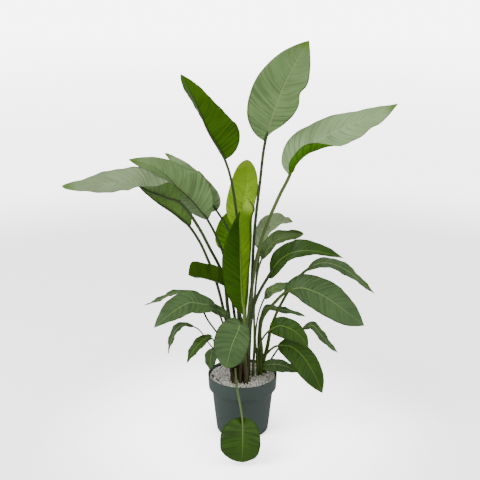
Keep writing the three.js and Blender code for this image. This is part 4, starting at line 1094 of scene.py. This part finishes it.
# the upper side's gloss and shine, and each side's flesh, light streaks, midrib and perhaps tip. Apart from
# the young leaves' own paler green, the upper sides are copies of one leaf green that differ by painted
# sheen, light and shade, and the undersides' saturated greens are painted light passing through the blade.
BLADE_COLOURS = {
    # the palest upper side: painted sheen, and painted light on a leaf that lies in the shade of another
    "palest_sheen": (0.4, 0.25, [(136, 166, 110), (154, 184, 130), (172, 196, 140), TIP],
              [(60, 104, 0), (74, 120, 2), RIB]),
    # a pale upper side: painted sheen
    "pale_sheen": (0.4, 0.25, [(120, 142, 98), (142, 164, 120), (164, 182, 130), TIP],
               [(80, 110, 52), (94, 124, 62), RIB]),
    # a paler upper side: painted sheen
    "mild_sheen": (0.42, 0.25, [(102, 132, 76), (120, 150, 92), (150, 172, 106), TIP],
             [(62, 96, 6), (78, 112, 12), RIB]),
    # painted sheen, and painted light on a leaf that lies in shade under its own curl
    "light": (0.42, 0.25, [(82, 106, 54), (98, 124, 68), (136, 160, 94)],
              [(60, 92, 10), (74, 108, 18), RIB]),
    # the leaf green with a little painted sheen
    "soft": (0.42, 0.25, [(62, 88, 44), (80, 108, 60), (130, 158, 88)],
             [(86, 120, 52), (100, 136, 62), RIB]),
    "deep": (0.36, 0.2, [(42, 71, 11), (56, 87, 19), (106, 140, 52)],
             [(54, 90, 2), (66, 104, 6), RIB]),
    # a dark saturated green: painted shade
    "bright": (0.42, 0.12, [(42, 78, 0), (56, 92, 2), (96, 134, 20)],
               [(38, 64, 2), (50, 80, 4), RIB]),
    # a bright saturated green: painted light shining through a leaf that stands in shade behind others
    "lit": (0.42, 0.12, [(92, 146, 0), (110, 166, 4), (140, 186, 30)],
            [(84, 130, 0), (96, 146, 0), RIB]),
    "young": (0.42, 0.15, [(128, 168, 20), (148, 190, 42), (172, 200, 84), (160, 194, 66)],
              [(76, 114, 0), (98, 136, 0), (150, 178, 50), (156, 190, 64)]),
}
BLADE_FINISHES = {}
blade_skin = blade_effect()
for name, (gloss, shine, upper, under) in BLADE_COLOURS.items():
    above, below = [rgb(*colour) for colour in upper], [rgb(*colour) for colour in under]
    BLADE_FINISHES[name] = [
        blade_finish(blade_skin, name + "_upper", gloss, shine, UPPER_RIB_WIDTH, *above),
        blade_finish(blade_skin, name + "_under", UNDER_GLOSS, UNDER_SHINE, UNDER_RIB_WIDTH, *below)]

# ---------------------------------------------------------------- floor, light and camera

FLOOR_REACH = 60
SKY_LOW = 0.65
SKY_HIGH = 1.1
CAMERA_PLACE = (-0.0087, -3.18, 1.69)
CAMERA_DOWN = 17.4
CAMERA_LENS = 75
CAMERA_SENSOR = 36


def stage():
    """The floor, which isn't part of the plant."""
    mesh = bmesh.new()
    bmesh.ops.create_grid(mesh, x_segments=1, y_segments=1, size=FLOOR_REACH)
    data = bpy.data.meshes.new("floor")
    mesh.to_mesh(data)
    mesh.free()
    floor = bpy.data.objects.new("floor", data)
    data.materials.append(floor_finish())
    bpy.context.scene.collection.objects.link(floor)


def lamp(name, place, target, size, power):
    """A round soft light."""
    data = bpy.data.lights.new(name, "AREA")
    data.shape = "DISK"
    data.size = size
    data.energy = power
    made = bpy.data.objects.new(name, data)
    made.location = place
    made.rotation_euler = (Vector(target) - Vector(place)).to_track_quat("-Z", "Y").to_euler()
    bpy.context.scene.collection.objects.link(made)


def light():
    """Soft light from all round, brighter from above, with a large window at the upper left."""
    world = bpy.data.worlds.new("studio")
    world.use_nodes = True
    tree = world.node_tree
    height = tree.nodes.new("ShaderNodeSeparateXYZ")
    rise = tree.nodes.new("ShaderNodeMapRange")
    tree.links.new(tree.nodes.new("ShaderNodeTexCoord").outputs["Generated"], height.inputs[0])
    tree.links.new(height.outputs["Z"], rise.inputs["Value"])
    rise.inputs["To Min"].default_value = SKY_LOW
    rise.inputs["To Max"].default_value = SKY_HIGH
    tree.nodes["Background"].inputs["Color"].default_value = (1, 1, 1, 1)
    tree.links.new(rise.outputs[0], tree.nodes["Background"].inputs["Strength"])
    bpy.context.scene.world = world
    lamp("window", (-2.2, -1.8, 2.8), (0, 0, 0.7), 2.2, 50)
    lamp("fill", (2.6, -1.6, 1.9), (0, 0, 0.6), 2.0, 12)


def camera():
    """The photograph's view, from the front and a little above."""
    data = bpy.data.cameras.new("camera")
    data.lens = CAMERA_LENS
    data.sensor_width = CAMERA_SENSOR
    made = bpy.data.objects.new("camera", data)
    made.location = CAMERA_PLACE
    made.rotation_euler = (math.radians(90 - CAMERA_DOWN), 0, 0)
    bpy.context.scene.collection.objects.link(made)
    bpy.context.scene.camera = made


camera()
light()
stage()
make_pot()
make_soil()
for spec in LEAVES:
    grow_leaf(spec)
make_gravel()
